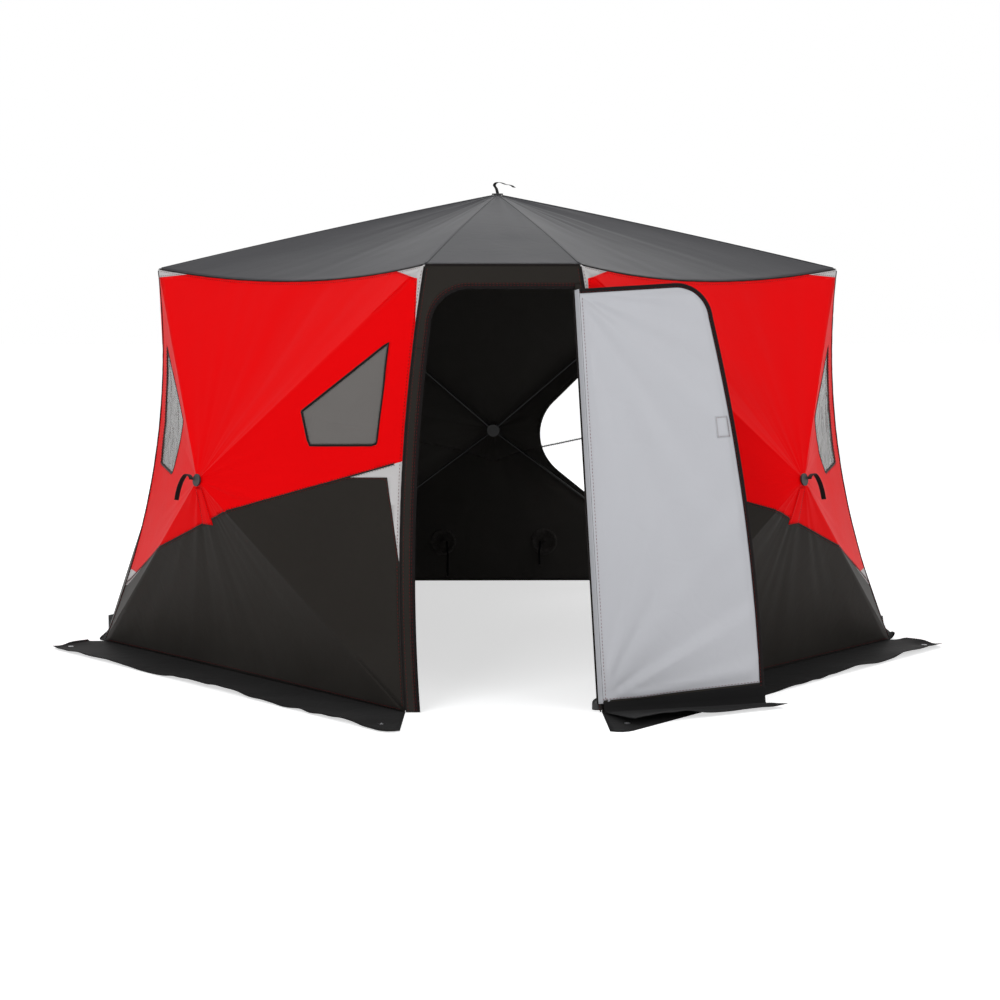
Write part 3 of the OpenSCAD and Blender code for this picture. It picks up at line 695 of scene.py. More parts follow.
# ---- cloth that settles by simulation ----
def relaxed(obj, held, slack, frames=20, limit=0.016, stiffness=18.0, bend=0.5):
    """Let a sheet settle under its own weight between the points that are held."""
    start = np.array([v.co for v in obj.data.vertices], float)
    group = obj.vertex_groups.new(name="held")
    group.add([int(i) for i in held], 1.0, "REPLACE")
    sim = obj.modifiers.new("settling", "CLOTH")
    s = sim.settings
    s.quality, s.mass, s.air_damping = 5, 0.12, 2.0
    s.tension_stiffness = s.compression_stiffness = stiffness
    s.shear_stiffness, s.bending_stiffness = stiffness * 0.4, bend
    s.vertex_group_mass = "held"
    s.shrink_min = -slack
    sim.collision_settings.use_collision = False
    sim.collision_settings.use_self_collision = False
    sim.point_cache.frame_start, sim.point_cache.frame_end = 1, frames + 1
    scene = bpy.context.scene
    for f in range(1, frames + 1):
        scene.frame_set(f)
    graph = bpy.context.evaluated_depsgraph_get()
    ready = obj.evaluated_get(graph)
    end = np.array([v.co for v in ready.data.vertices], float)
    obj.modifiers.clear()
    obj.vertex_groups.clear()
    scene.frame_set(1)
    move = end - start
    far = np.linalg.norm(move, axis=1)[:, None] + 1e-9
    end = start + move * limit * np.tanh(far / limit) / far
    obj.data.vertices.foreach_set("co", end.ravel())
    obj.data.update()
    return obj


def soft(x):
    x = np.clip(x, 0, 1)
    return x * x * (3 - 2 * x)


def fan_wrinkles(x, y, u, v, run, reach, seed, depth, centre):
    """Folds that fan out from a held point, broad waves, and puckers beside the sewn edge."""
    ang = np.arctan2(y - centre[1], x - centre[0])
    r = np.hypot(x - centre[0], y - centre[1])
    calm = soft(v / 0.1) * soft((1 - v) / 0.07) * (0.3 + 0.7 * soft(np.minimum(u, 1 - u) / 0.14))
    fans = 0.65 * noise(ang * 6.0 + seed, r * 1.3, seed) + 0.35 * noise(ang * 15.0, r * 2.2, seed + 1)
    broad = noise(x * 2.3, y * 2.3, seed + 2) * 0.6 + noise(x * 6.0, y * 6.0, seed + 5) * 0.25
    gather = noise(u * run * 24.0, (1 - v) * 2.0, seed + 3)
    gather = gather * np.exp(-(1 - v) * reach / 0.07) * soft((1 - v) / 0.012)
    return depth * calm * (fans + broad) + depth * 0.35 * gather


def drawn(path, step, closed):
    """A drawn line's points, evenly spaced and brought back to its start if it is closed."""
    path = np.asarray(path, float)
    return resampled(np.concatenate([path, path[:1]]) if closed else path, step)


class Panel:
    """One wall's cloth as a dense sheet, left or right, that can be cut along drawn lines."""

    def __init__(self, wall, right, seed, nu=60, nv=42):
        self.wall, self.right = wall, right
        parts = Parts()
        u, v = np.linspace(0, 1, nu), np.linspace(0, 1, nv)
        hub = wall.local(wall.hub)
        for e, edge in enumerate(wall.edges()):
            rim = edge(u)
            sheet = wall.hub + v[None, :, None] * (rim[:, None] - wall.hub) + CLOTH * wall.out
            q = wall.local(sheet)
            run = np.linalg.norm(rim[-1] - rim[0])
            reach = np.linalg.norm(rim - wall.hub, axis=1)[:, None]
            d = fan_wrinkles(q[..., 0], q[..., 1], u[:, None], v[None, :], run, reach, seed, size().wrinkle,
                             hub)
            # sewn cloth pulls in a little between its poles
            d = d - size().hollow * (np.sin(np.pi * u)[:, None] * np.sin(np.pi * v)[None, :]) ** 0.8
            if e == 3:
                d = d * soft((1 - v) / 0.05)[None, :]
            sheet = sheet + d[..., None] * wall.out
            parts.add(sheet, wound(grid_faces(nu, nv), sheet.reshape(-1, 3), nv // 2, wall.out))
        self.bm = bmesh.new()
        vs = [self.bm.verts.new(p) for p in np.concatenate(parts.verts)]
        for f in parts.faces:
            self.bm.faces.new([vs[i] for i in f])
        bmesh.ops.remove_doubles(self.bm, verts=self.bm.verts, dist=SAME_POINT)
        bmesh.ops.dissolve_degenerate(self.bm, edges=self.bm.edges, dist=1e-6)
        self.tree = BVHTree.FromBMesh(self.bm)

    def outwards(self):
        """Out of the wall, on the panel's own side of the hut."""
        return mirrored(self.wall.out) if self.right else self.wall.out

    def cut(self, pts, closed=True, pad=0.03):
        """Cut the sheet's faces along a line drawn on the wall's slope."""
        pts = np.asarray(pts, float)
        ring = list(zip(pts, np.roll(pts, -1, 0)))
        for a, b in ring if closed else ring[:-1]:
            length = np.linalg.norm(b - a)
            if length < 1e-5:
                continue
            d = (b - a) / length
            self.bm.verts.index_update()
            q = self.wall.local(np.array([v.co for v in self.bm.verts]))[:, :2] - a
            s, c = q @ d, q @ np.array([-d[1], d[0]])
            beside = (s > -pad) & (s < length + pad)
            crossing = []
            for f in self.bm.faces:
                ids = [v.index for v in f.verts]
                if beside[ids].any() and c[ids].min() < -1e-6 and c[ids].max() > 1e-6:
                    crossing.append(f)
            geom = set(crossing)
            for f in crossing:
                geom.update(f.edges)
                geom.update(f.verts)
            normal = -d[1] * self.wall.along + d[0] * self.wall.up
            bmesh.ops.bisect_plane(
                self.bm, geom=list(geom), dist=1e-6, plane_co=self.wall.world([*a, 0]), plane_no=normal)

    def centres(self):
        return self.wall.local(np.array([f.calc_center_median() for f in self.bm.faces]))[:, :2]

    def piece(self, name, keep, drop=0.0):
        """A new object from the kept faces, on its own side of the hut."""
        ids, verts, faces = {}, [], []
        self.bm.normal_update()
        for f, kept in zip(self.bm.faces, keep):
            if not kept:
                continue
            for v in f.verts:
                if v not in ids:
                    ids[v] = len(verts)
                    verts.append(v.co - v.normal * drop)
            faces.append([ids[v] for v in f.verts])
        verts = np.array(verts)
        if self.right:
            verts = mirrored(verts)
            faces = [f[::-1] for f in faces]
        return mesh_object(name, verts, faces)

    def on(self, pts, lift=0.0):
        """Points of the cloth under a line drawn on the wall's slope, raised by lift."""
        found = []
        for p in np.asarray(pts, float):
            start = Vector(self.wall.world([p[0], p[1], 0.7]))
            hit, normal, _, _ = self.tree.ray_cast(start, Vector(-self.wall.out))
            if hit is None:
                hit, normal, _, _ = self.tree.find_nearest(Vector(self.wall.world([p[0], p[1], 0.0])))
            found.append(np.array(hit) + lift * np.array(normal))
        found = np.array(found)
        return mirrored(found) if self.right else found

    def strip(self, parts, path, width, lift, closed=False, step=0.03):
        """A flat band sewn on the cloth along a drawn line."""
        path = drawn(path, step, closed)
        side = sideways(path)
        rows = [self.on(path + side * (width * w), lift * (1 if abs(w) < 0.4 else 0.35))
                for w in (0.5, 0.3, 0, -0.3, -0.5)]
        flat = np.stack(rows, 1).reshape(-1, 3)
        faces = grid_faces(len(path), len(rows))
        parts.add(flat, wound(faces, flat, len(faces) // 2, self.outwards()))

    def line(self, path, lift, step=0.02, shift=0.0, closed=False):
        """A line of sewing on the cloth, moved sideways by shift from a drawn line."""
        path = drawn(path, step, closed)
        return self.on(path + sideways(path) * shift, lift)


PANELS = {}


def panels():
    if not PANELS:
        raise RuntimeError("make the walls first")
    return PANELS


def inside_any(shapes, pts):
    """Which of pts lie inside at least one of the shapes."""
    return np.logical_or.reduce([inside(shape, pts) for shape in shapes])


def wall_zones(panel):
    """Which faces of a cut side wall are upper cloth, lower cloth and light patch."""
    k, c = panel.wall.k, panel.centres()
    window = inside_any([turned(k, w) for w in WINDOWS], c)
    patch = inside_any([turned(k, p) for p in PATCHES], c)
    low = c[:, 1] < border(k, c[:, 0])
    return ~low & ~patch & ~window, low & ~patch & ~window, patch & ~window


def wall_cloths(panel, zones):
    """Make each named zone of a cut wall into stretched cloth."""
    for name, keep, material, slot, node in zones:
        obj = facing(panel.piece(name, keep), panel.outwards())
        sewn_sheet(obj, HUT, slot, [material, dark_lining()], [node])


def border_line(k):
    return [[x, float(border(k, x))] for x in ([-1.35, 0.0, 1.35] if k == BL else [-1.35, 1.35])]


class HUT_OT_walls(bpy.types.Operator):
    """Make the five hub walls' cloth with windows and light patches"""
    bl_idname = "hut.walls"
    bl_label = "Walls"

    def execute(self, context):
        for k, label in ((FL, "front"), (L, "back")):
            for right, side in ((False, "left"), (True, "right")):
                panel = Panel(WALLS[k], right, seed=11 + 7 * k + 23 * right)
                PANELS[label, side] = panel
                self.side_wall(panel, f"{label}_{side}")
        panel = Panel(WALLS[BL], False, seed=71, nu=72)
        PANELS["back", "middle"] = panel
        self.back_wall(panel)
        return {"FINISHED"}

    def side_wall(self, panel, name):
        """Cut a side wall into its colours, light patches and windows, and add its panes."""
        k, whole = panel.wall.k, panel.bm.copy()
        panel.cut(border_line(k), closed=False)
        for shape in PATCHES + WINDOWS:
            panel.cut(turned(k, shape))
        high, low, patch = wall_zones(panel)
        wall_cloths(panel, (
            (f"{name}_upper_cloth", high, red_cloth(), "red_fabric", f"{name}_upper"),
            (f"{name}_lower_cloth", low, black_cloth(), "black_fabric", f"{name}_lower"),
            (f"{name}_light_patches", patch, grey_cloth(), "grey_fabric", "corner_patches")))
        # clear panes sit just behind the window openings
        panel.bm = whole
        panes = [grown(turned(k, w), PANE_EDGE) for w in WINDOWS]
        for shape in panes:
            panel.cut(shape)
        obj = panel.piece(f"{name}_panes", inside_any(panes, panel.centres()), drop=PANE_DEPTH)
        finished(facing(obj, panel.outwards()), HUT, "window_vinyl", [window_sheet()], [f"{name}_windows"])
        thickened(obj, PANE_THICK, lining=False)

    def back_wall(self, panel):
        """Cut the back wall into its colours and its open rear doorway."""
        hole, ring = rounded(REAR_POINTS, REAR_RADII, 0.0), rounded(REAR_POINTS, REAR_RADII, TAPE)
        panel.cut(border_line(BL), closed=False)
        panel.cut(hole, pad=0.02)
        panel.cut(ring, pad=0.02)
        c = panel.centres()
        gone, band = inside(hole, c), inside(ring, c)
        low = c[:, 1] < border(BL, c[:, 0])
        wall_cloths(panel, (
            ("back_upper_cloth", ~low & ~band, red_cloth(), "red_fabric", "back_upper"),
            ("back_lower_cloth", low & ~band, black_cloth(), "black_fabric", "back_lower"),
            ("rear_doorway_tape", band & ~gone, zip_tape(), "zip_tape", "rear_door_zip")))


class HUT_OT_roof(bpy.types.Operator):
    """Make the six roof sectors with their bowed pole lines"""
    bl_idname = "hut.roof"
    bl_label = "Roof"

    def execute(self, context):
        front = np.array([eave(FL), mirrored(eave(FL))])
        sectors = [
            ("roof_front", lambda t: front[0] + (front[1] - front[0]) * np.asarray(t)[..., None], False),
            ("roof_front_left", WALLS[FL].eave_edge, False), ("roof_front_right", WALLS[FL].eave_edge, True),
            ("roof_back_left", WALLS[L].eave_edge, False), ("roof_back_right", WALLS[L].eave_edge, True),
            ("roof_back", WALLS[BL].eave_edge, False)]
        nu, nv = 64, 52
        u, v = np.linspace(0, 1, nu), np.linspace(0, 1, nv)
        for s, (node, edge, right) in enumerate(sectors):
            rim = edge(u)
            up = unit(np.cross(rim[0] - PEAK, rim[-1] - PEAK))
            up = up if up[2] > 0 else -up
            sheet = PEAK + v[None, :, None] * (rim[:, None] - PEAK) + CLOTH * up
            run = np.linalg.norm(rim[-1] - rim[0])
            reach = np.linalg.norm(rim - PEAK, axis=1)[:, None]
            d = fan_wrinkles(sheet[..., 0], sheet[..., 1], u[:, None], v[None, :], run, reach, 101 + 13 * s,
                             size().wrinkle * (0.6 if node == "roof_front" else 1), PEAK)
            bow = 4 * v * (1 - v)
            d = d + size().roof_bow * bow[None, :] * (1 - 1.6 * np.sin(np.pi * u)[:, None] * (run > 1))
            sheet = sheet + d[..., None] * up
            if right:
                sheet = mirrored(sheet)
            obj = mesh_object(f"{node}_cloth", sheet.reshape(-1, 3), grid_faces(nu, nv))
            merged(obj)
            sewn_sheet(facing(obj, (0, 0, 1)), HUT, "roof_fabric", [roof_cloth(), dark_lining()], [node])
        return {"FINISHED"}


# ---- the door wall ----
DOOR_FOOT = np.array([0, base(FL)[1], HEM_Z])
DOOR_HEAD = np.array([0, eave(FL)[1], EAVE_H])
SLOPE = float(np.linalg.norm(DOOR_HEAD - DOOR_FOOT))
DOOR_UP = unit(DOOR_HEAD - DOOR_FOOT)
DOOR_OUT = np.cross([1, 0, 0], DOOR_UP)
RIM, JAMB, HEADER, CORNER_R = 0.0051, 0.034, 0.095, 0.150
HINGE_BASE, HINGE_TOP, STEP, WEB = 0.362, 0.276, 0.030, 0.012
FLAP_GAP, FLAP_HEM = 0.006, 0.030
JAMB_TOP, SEAM_LAP, WELT_R = 1.400, 0.002, 0.0048
TOP = SLOPE - HEADER


def from_door(x, y, z=0.0):
    x, y, z = np.broadcast_arrays(*(np.asarray(c, float) for c in (x, y, z)))
    return DOOR_FOOT + x[..., None] * np.array([1, 0, 0]) + y[..., None] * DOOR_UP + z[..., None] * DOOR_OUT


def seam_x(y):
    t = np.asarray(y, float) / SLOPE
    return DOOR_BASE + (0.301 - DOOR_BASE) * t + 4 * t * (1 - t) * DOOR_BOW


def hinge_x(y):
    return HINGE_BASE + (HINGE_TOP - HINGE_BASE) * np.asarray(y, float) / TOP


def doorway_left(y, grow):
    return -(seam_x(y) - RIM - JAMB - TAPE) - grow


def doorway_edge(low, grow, to_hinge=0.0):
    """The doorway's free edge: up its left side, round the corner and along its top."""
    y = np.linspace(low, TOP - CORNER_R, 60)
    x0, r = doorway_left(TOP - CORNER_R, 0) + CORNER_R, CORNER_R + grow
    a = np.radians(np.linspace(5, 90, 18))
    end = float(hinge_x(TOP + grow)) - to_hinge
    xs = np.linspace(x0, end, 24)[1:]
    return np.concatenate([
        np.stack([doorway_left(y, grow), y], 1),
        np.stack([x0 - r * np.cos(a), TOP - CORNER_R + r * np.sin(a)], 1),
        np.stack([xs, np.full(len(xs), TOP + grow)], 1)])


JOINT = frame["joints"][0]
HINGE_AT, HINGE_AXIS = Vector(JOINT["pos_m"]), Vector(JOINT["axis"]).normalized()
OPEN = math.radians(-JOINT["range_deg"][0])
SWING = np.array(Matrix.Translation(HINGE_AT) @ Matrix.Rotation(OPEN, 4, HINGE_AXIS)
                 @ Matrix.Translation(-HINGE_AT))


def swung(p):
    """Points of the shut door, swung to the open pose."""
    p = np.asarray(p, float)
    return p @ SWING[:3, :3].T + SWING[:3, 3]


def band_between(inner, outer, rows, z):
    """A sheet between two lines on the door wall, with z raised out of it."""
    w = np.linspace(0, 1, rows)[None, :, None]
    flat = inner[:, None] * (1 - w) + outer[:, None] * w
    return from_door(flat[..., 0], flat[..., 1], z), flat


class HUT_OT_doorway(bpy.types.Operator):
    """Make the door wall's header, jambs, zip tape and zip teeth"""
    bl_idname = "hut.doorway"
    bl_label = "Doorway"

    def panel(self, name, inner, outer, material, slot, node, z=0.001, rows=6, wave=0.0012):
        """A strip of the door wall's cloth between two lines, in soft waves."""
        pts, flat = band_between(inner, outer, rows, z)
        across = np.sin(np.pi * np.linspace(0, 1, rows))
        pts = pts + (wave * noise(flat[..., 0] * 14, flat[..., 1] * 9, 5) * across)[..., None] * DOOR_OUT
        obj = facing(mesh_object(name, pts.reshape(-1, 3), grid_faces(len(inner), rows)), DOOR_OUT)
        sewn_sheet(obj, HUT, slot, [material, dark_lining()], [node])

    def execute(self, context):
        black = black_cloth()
        y = np.linspace(0.0, JAMB_TOP, 90)
        self.panel("door_jamb_left_cloth", np.stack([doorway_left(y, TAPE), y], 1),
                   np.stack([-seam_x(y) + SEAM_LAP, y], 1), black, "black_fabric", "door_jamb_left")
        y = np.linspace(0.0, TOP + TAPE, 90)
        self.panel("door_jamb_right_cloth", np.stack([hinge_x(y) + 0.0053, y], 1),
                   np.stack([seam_x(y) - SEAM_LAP, y], 1), black, "black_fabric", "door_jamb_right")
        # the header's two lines have the same number of points, corner beside corner
        edge = doorway_edge(JAMB_TOP, TAPE)
        inner = np.concatenate([edge, [[float(seam_x(TOP + TAPE)) - SEAM_LAP, TOP + TAPE]]])
        turn = int(np.argmax(edge[:, 1] > TOP - 0.03))
        corner = [-float(seam_x(SLOPE)) + SEAM_LAP, SLOPE - SEAM_LAP]
        side = np.linspace(JAMB_TOP, corner[1], 40)
        outer = np.concatenate([
            np.stack([-seam_x(side) + SEAM_LAP, side], 1),
            np.stack([np.linspace(corner[0], -corner[0], 50)[1:], np.full(49, corner[1])], 1)])
        inner, outer = (np.concatenate([spaced(line[:at + 1], 40), spaced(line[at:], 50)[1:]])
                        for line, at in ((inner, turn), (outer, 39)))
        self.panel("door_header_cloth", inner, outer, black, "black_fabric", "door_header", rows=8)
        self.panel("doorway_zip_tape", doorway_edge(0.0, 0.0), doorway_edge(0.0, TAPE), zip_tape(), "zip_tape",
                   "doorway_zip", z=0.0014, rows=3, wave=0.0004)
        path = doorway_edge(0.01, 0.002)
        teeth = bead_row("doorway_zip_teeth", [from_door(path[:, 0], path[:, 1], 0.002)], black_thread(),
                         *ZIP_TOOTH, 0.0016)
        finished(teeth, HUT, "zip_tape", [black_thread()])
        sew = [from_door(p[:, 0], p[:, 1], 0.0022) for p in (
            doorway_edge(0.01, TAPE + 0.004), doorway_edge(0.01, TAPE - 0.004))]
        y = np.linspace(0.01, SLOPE - 0.02, 60)
        sew += [from_door(s * (seam_x(y) - 0.011), y, 0.0016) for s in (-1, 1)]
        stitches("door_wall_stitches", sew, red_thread(), FINE_STITCH, HUT, "piping")
        return {"FINISHED"}


class HUT_OT_seams(bpy.types.Operator):
    """Make the piping in the corners and eaves, the seams between colours and the window bindings"""
    bl_idname = "hut.seams"
    bl_label = "Seams"

    def execute(self, context):
        found = panels()
        r = size().piping
        corner = Parts()
        t = np.linspace(0.004, 0.996, 110)
        for k in (FL, L, BL):
            for right in (False, True):
                line = seam(k, t) + CLOTH * 0.5 * unit(seam(k, 0.5) - PEAK * [1, 1, 0] - [0, 0, 0.8])
                line = mirrored(line) if right else line
                pucker = r * (1 + 0.10 * noise(t * 90, t * 0, 31 + k))
                corner.add(*tube(line, pucker))
        obj = outward_normals(corner.object("corner_piping"))
        finished(obj, HUT, "piping", [piping_cloth()], ["corner_seams"])
        eaves = Parts()
        t = np.linspace(0.006, 0.994, 90)
        lines = []
        for k in (FL, L):
            lines += [WALLS[k].eave_edge(t), mirrored(WALLS[k].eave_edge(t))]
        lines.append(WALLS[BL].eave_edge(t))
        a = eave(FL)
        lines.append(a + (mirrored(a) - a) * t[:, None])
        for s, line in enumerate(lines):
            eaves.add(*tube(line, r * (0.95 + 0.12 * noise(t * 80, t * 0, 51 + s))))
        obj = outward_normals(eaves.object("eave_piping"))
        finished(obj, HUT, "piping", [piping_cloth()], ["eave_seams"])
        # a binding over each ridge closes the joint between two roof sectors
        ridges = Parts()
        t = np.linspace(0.015, 0.992, 80)[:, None]
        lift = CLOTH + size().roof_bow * 4 * t * (1 - t) * 0.94
        for k in (FL, L, BL):
            line = PEAK + (eave(k) - PEAK) * t + [0, 0, 1] * lift
            for path in (line, mirrored(line)):
                ridges.add(*tube(path, r, squash=0.6))
        obj = outward_normals(ridges.object("ridge_piping"))
        finished(obj, HUT, "roof_fabric", [roof_cloth()])
        bands, binding, rows, dark_rows = Parts(), Parts(), [], []
        for (_, side), panel in found.items():
            k = panel.wall.k
            half = 1.2 if side == "middle" else 1.25
            xs = np.linspace(-half, half, 70)
            line = np.stack([xs, border(k, xs)], 1)
            line = line[self.within(panel, line)]
            panel.strip(bands, line, 0.007, 0.0012)
            rows += [panel.line(line, 0.0014, shift=s * 0.006) for s in (-1, 1)]
            if side != "middle":
                for w in WINDOWS:
                    w = turned(k, w)
                    panel.strip(binding, w, 0.009, 0.0014, closed=True)
                    dark_rows.append(panel.line(w, 0.0022, shift=0.006, closed=True))
                for p in PATCHES:
                    sides = 4 if p in (PATCHES[1], PATCHES[3]) else 3
                    line = resampled(turned(k, p)[:sides], 0.03)
                    line = line[self.within(panel, line)]
                    if len(line) > 2:
                        rows.append(panel.line(line, 0.0012, shift=0.005))
            else:
                ring = rounded(REAR_POINTS, REAR_RADII, TAPE - 0.003)
                panel.strip(binding, ring, 0.012, 0.0016, closed=True)
                rows.append(panel.line(rounded(REAR_POINTS, REAR_RADII, TAPE + 0.006), 0.0014, closed=True))
            # a row beside each of the wall's four edges
            for edge in panel.wall.edges():
                rim = panel.wall.local(edge(np.linspace(0.01, 0.99, 60)))[:, :2]
                hub = panel.wall.local(panel.wall.hub)[:2]
                pull = (hub - rim) / np.linalg.norm(hub - rim, axis=1)[:, None]
                rows.append(panel.line(rim + pull * 0.014, 0.0012))
        for name, shape, material in (("colour_seam_bands", bands, black_cloth()),
                                      ("window_and_doorway_bindings", binding, piping_cloth())):
            sewn_sheet(shape.object(name), HUT, "piping", [material, dark_lining()], (),
                       THIN)
        stitches("panel_stitches", rows, red_thread(), WIDE_STITCH, HUT, "piping")
        stitches("window_stitches", dark_rows, black_thread(), FINE_STITCH, HUT, "piping")
        ring = rounded(REAR_POINTS, REAR_RADII, 0.002)
        panel = found["back", "middle"]
        teeth = bead_row("rear_doorway_teeth", [panel.line(ring, 0.0008, closed=True)], black_thread(),
                         *ZIP_TOOTH, 0.0018)
        finished(teeth, HUT, "zip_tape", [black_thread()])
        return {"FINISHED"}

    @staticmethod
    def within(panel, line):
        """Which points of a drawn line lie on the wall, clear of its piping."""
        rim = np.concatenate([panel.wall.local(e(np.linspace(0, 1, 40)))[:, :2] for e in panel.wall.edges()])
        mid = rim.mean(0)
        rim = mid + (rim - mid) * 0.992
        return inside(rim, np.asarray(line, float))


# ---- ground skirts ----
SKIRT_W, SKIRT_REACH, SKIRT_TONGUE, SKIRT_TAPER = 0.300, 0.280, 0.030, 0.620


def skirt_lines(k, run):
    """A skirt's sewn edge and free edge, along and out of its wall."""
    w = SKIRT_W
    if k == FL:
        sewn = [[0.001, 0], [run - 0.001, 0]]
        free = [[-SKIRT_REACH, 0.8 * w]] + [
            [-SKIRT_REACH + 0.05 * (1 - math.cos(a)), w * (0.8 + 0.2 * math.sin(a))] for a in (0.52, 1.05)] + [
            [-SKIRT_REACH + 0.06, w], [run - 3 * SKIRT_TONGUE, w], [run - SKIRT_TONGUE, 0.96 * w],
            [run + 0.7 * SKIRT_TONGUE, 0.6 * w], [run + SKIRT_TONGUE, 0.25 * w]]
    elif k == L:
        sewn = [[0.002, 0], [run - 0.002, 0]]
        free = [[0.002, w / 10], [SKIRT_TAPER / 2, 0.47 * w], [SKIRT_TAPER, w], [run - 0.07, w],
                [run - 0.006, 0.75 * w]]
    else:
        sewn = [[0.002, 0], [run - 0.002, 0]]
        free = [[0.006, 0.75 * w], [0.07, w], [run - 0.07, w], [run - 0.006, 0.75 * w]]
    return np.array(sewn), np.array(free)


def eyelet_spots():
    """Middles of the skirt's eyelets, from the metal rings in the frame."""
    co = np.array([v.co for v in frame["nodes"]["skirt_eyelets"].data.vertices], float)[:, :2]
    spots = []
    while len(co):
        near = np.linalg.norm(co - co[0], axis=1) < 0.05
        spots.append((co[near].min(0) + co[near].max(0)) / 2)
        co = co[~near]
    return np.array(spots)


class HUT_OT_skirts(bpy.types.Operator):
    """Make the ground skirts round the walls, lying in shallow waves"""
    bl_idname = "hut.skirts"
    bl_label = "Ground skirts"

    def execute(self, context):
        spots = eyelet_spots()
        hems = []
        for k, right, node in ((FL, False, "front_left"), (FL, True, "front_right"), (L, False, "back_left"),
                               (L, True, "back_right"), (BL, False, "back")):
            a, b = BASE_PLAN[k], BASE_PLAN[k + 1]
            run = np.linalg.norm(b - a)
            along = (b - a) / run
            out = np.array([-along[1], along[0]])
            sewn, free = skirt_lines(k, run)
            nu, nv = int(run / 0.02), 22
            s = np.linspace(0, 1, nu)
            first = sewn[0] + (sewn[1] - sewn[0]) * s[:, None]
            far = run_along(free)
            last = np.stack([np.interp(s * far[-1], far, free[:, c]) for c in (0, 1)], 1)
            w = np.linspace(-0.04, 1, nv)[None, :, None]
            flat = first[:, None] * (1 - w) + last[:, None] * w
            seed = 201 + 17 * k + 5 * right
            plan = a + flat[..., :1] * along + flat[..., 1:] * out
            if right:
                plan = plan * [-1, 1]
            wide = np.clip(w[..., 0], 0, 1)
            wave = 0.5 + 0.5 * noise(flat[..., 0] * 3.6, wide * 1.1, seed)
            small = 0.5 + 0.5 * noise(flat[..., 0] * 15, wide * 3.0, seed + 1)
            z = size().skirt_wave * wide ** 1.5 * (0.8 * wave ** 2 + 0.25 * small * wide)
            z = z + 0.010 * soft((wide - 0.9) / 0.1) * noise(flat[..., 0] * 7, wide, seed + 2).clip(0, 1)
            for p in spots:
                d = np.linalg.norm(plan - p, axis=2)
                z = z * soft((d - 0.022) / 0.07)
            if k == FL and right:
                # it lies flat where the open flap's own skirt covers it
                z = z * soft((np.linalg.norm(plan - np.array(HINGE_AT)[:2], axis=2) - 0.78) / 0.30)
            verts = np.concatenate([plan, (0.0020 + z)[..., None]], 2)
            obj = mesh_object(f"{node}_skirt_cloth", verts.reshape(-1, 3), grid_faces(nu, nv))
            facing(obj, (0, 0, 1))
            self.punch(obj, spots)
            sewn_sheet(obj, HUT, "skirt_fabric", [skirt_cloth()], [f"{node}_skirt"], SKIRT_THICK)
            hems.append(verts[2:-2, -2] + [0, 0, 0.0012])
        stitches("skirt_stitches", hems, black_thread(), 0.0014, HUT, "skirt_fabric")
        return {"FINISHED"}

    @staticmethod
    def punch(obj, spots, radius=0.0068):
        """Cut a twelve-sided hole in a flat sheet under each eyelet."""
        bm = bmesh.new()
        bm.from_mesh(obj.data)

        def within(p, reach):
            return [f for f in bm.faces if (f.calc_center_median().xy - Vector(p)).length < reach]

        for p in spots:
            if not within(p, 0.06):
                continue
            for g in np.linspace(0, 2 * np.pi, 12, endpoint=False):
                near = within(p, 0.05)
                geom = set(near)
                for f in near:
                    geom.update(f.edges)
                    geom.update(f.verts)
                d = Vector((math.cos(g), math.sin(g), 0))
                bmesh.ops.bisect_plane(
                    bm, geom=list(geom), dist=1e-6, plane_co=Vector((p[0], p[1], 0)) + d * radius, plane_no=d)
            bmesh.ops.delete(bm, geom=within(p, radius * 0.98), context="FACES")
        bm.to_mesh(obj.data)
        bm.free()


# ---- webbing, tabs and loops ----
def smooth_path(points, count):
    """A rounded line through points."""
    p = np.asarray(points, float)
    p = np.concatenate([[2 * p[0] - p[1]], p, [2 * p[-1] - p[-2]]])
    out = []
    for t in np.linspace(0, len(p) - 3 - 1e-6, count):
        i, f = int(t), t - int(t)
        a, b, c, d = p[i:i + 4]
        out.append(0.5 * (2 * b + (c - a) * f + (2 * a - 5 * b + 4 * c - d) * f * f
                          + (3 * b - a - 3 * c + d) * f ** 3))
    return np.array(out)


def webbing_strip(parts, path, side, width, thick=0.0022, rows=5):
    """A flat woven strap along a path, its width along side."""
    path = np.asarray(path, float)
    t = np.gradient(path, axis=0)
    t /= np.linalg.norm(t, axis=1)[:, None]
    side = unit(side)
    up = np.cross(t, side)
    up /= np.linalg.norm(up, axis=1)[:, None]
    w = np.linspace(-0.5, 0.5, rows)
    edge = thick * (0.5 - 0.18 * (2 * np.abs(w)) ** 4)
    top = path[:, None] + side * (width * w)[None, :, None] + up[:, None] * edge[None, :, None]
    low = path[:, None] + side * (width * w)[None, :, None] - up[:, None] * edge[None, :, None]
    ring = np.concatenate([top, low[:, ::-1]], 1)
    n = ring.shape[1]
    faces = ring_faces(len(path), n)
    faces += [tuple(range(n)), tuple((len(path) - 1) * n + j for j in range(n - 1, -1, -1))]
    parts.add(ring.reshape(-1, 3), faces)


STRAP_W = 0.022
TAB_TOP, TAB_LENGTH, TAB_NARROW, TAB_WIDE, TAB_HEM = 0.030, 0.148, 0.045, 0.080, 0.004
# how a pull strap and the peak strap run, along and up from where they are sewn
STRAP_PATH = [[0, 0], [0, 0.004], [0.014, 0.014], [0.034, 0.020], [0.056, 0.010], [0.078, -0.018],
              [0.092, -0.054], [0.098, -0.092]]
PEAK_PATH = [[0, 0], [0, 0.004], [-0.005, 0.022], [-0.014, 0.038], [-0.004, 0.050], [0.016, 0.050],
             [0.038, 0.042], [0.062, 0.038], [0.078, 0.028]]


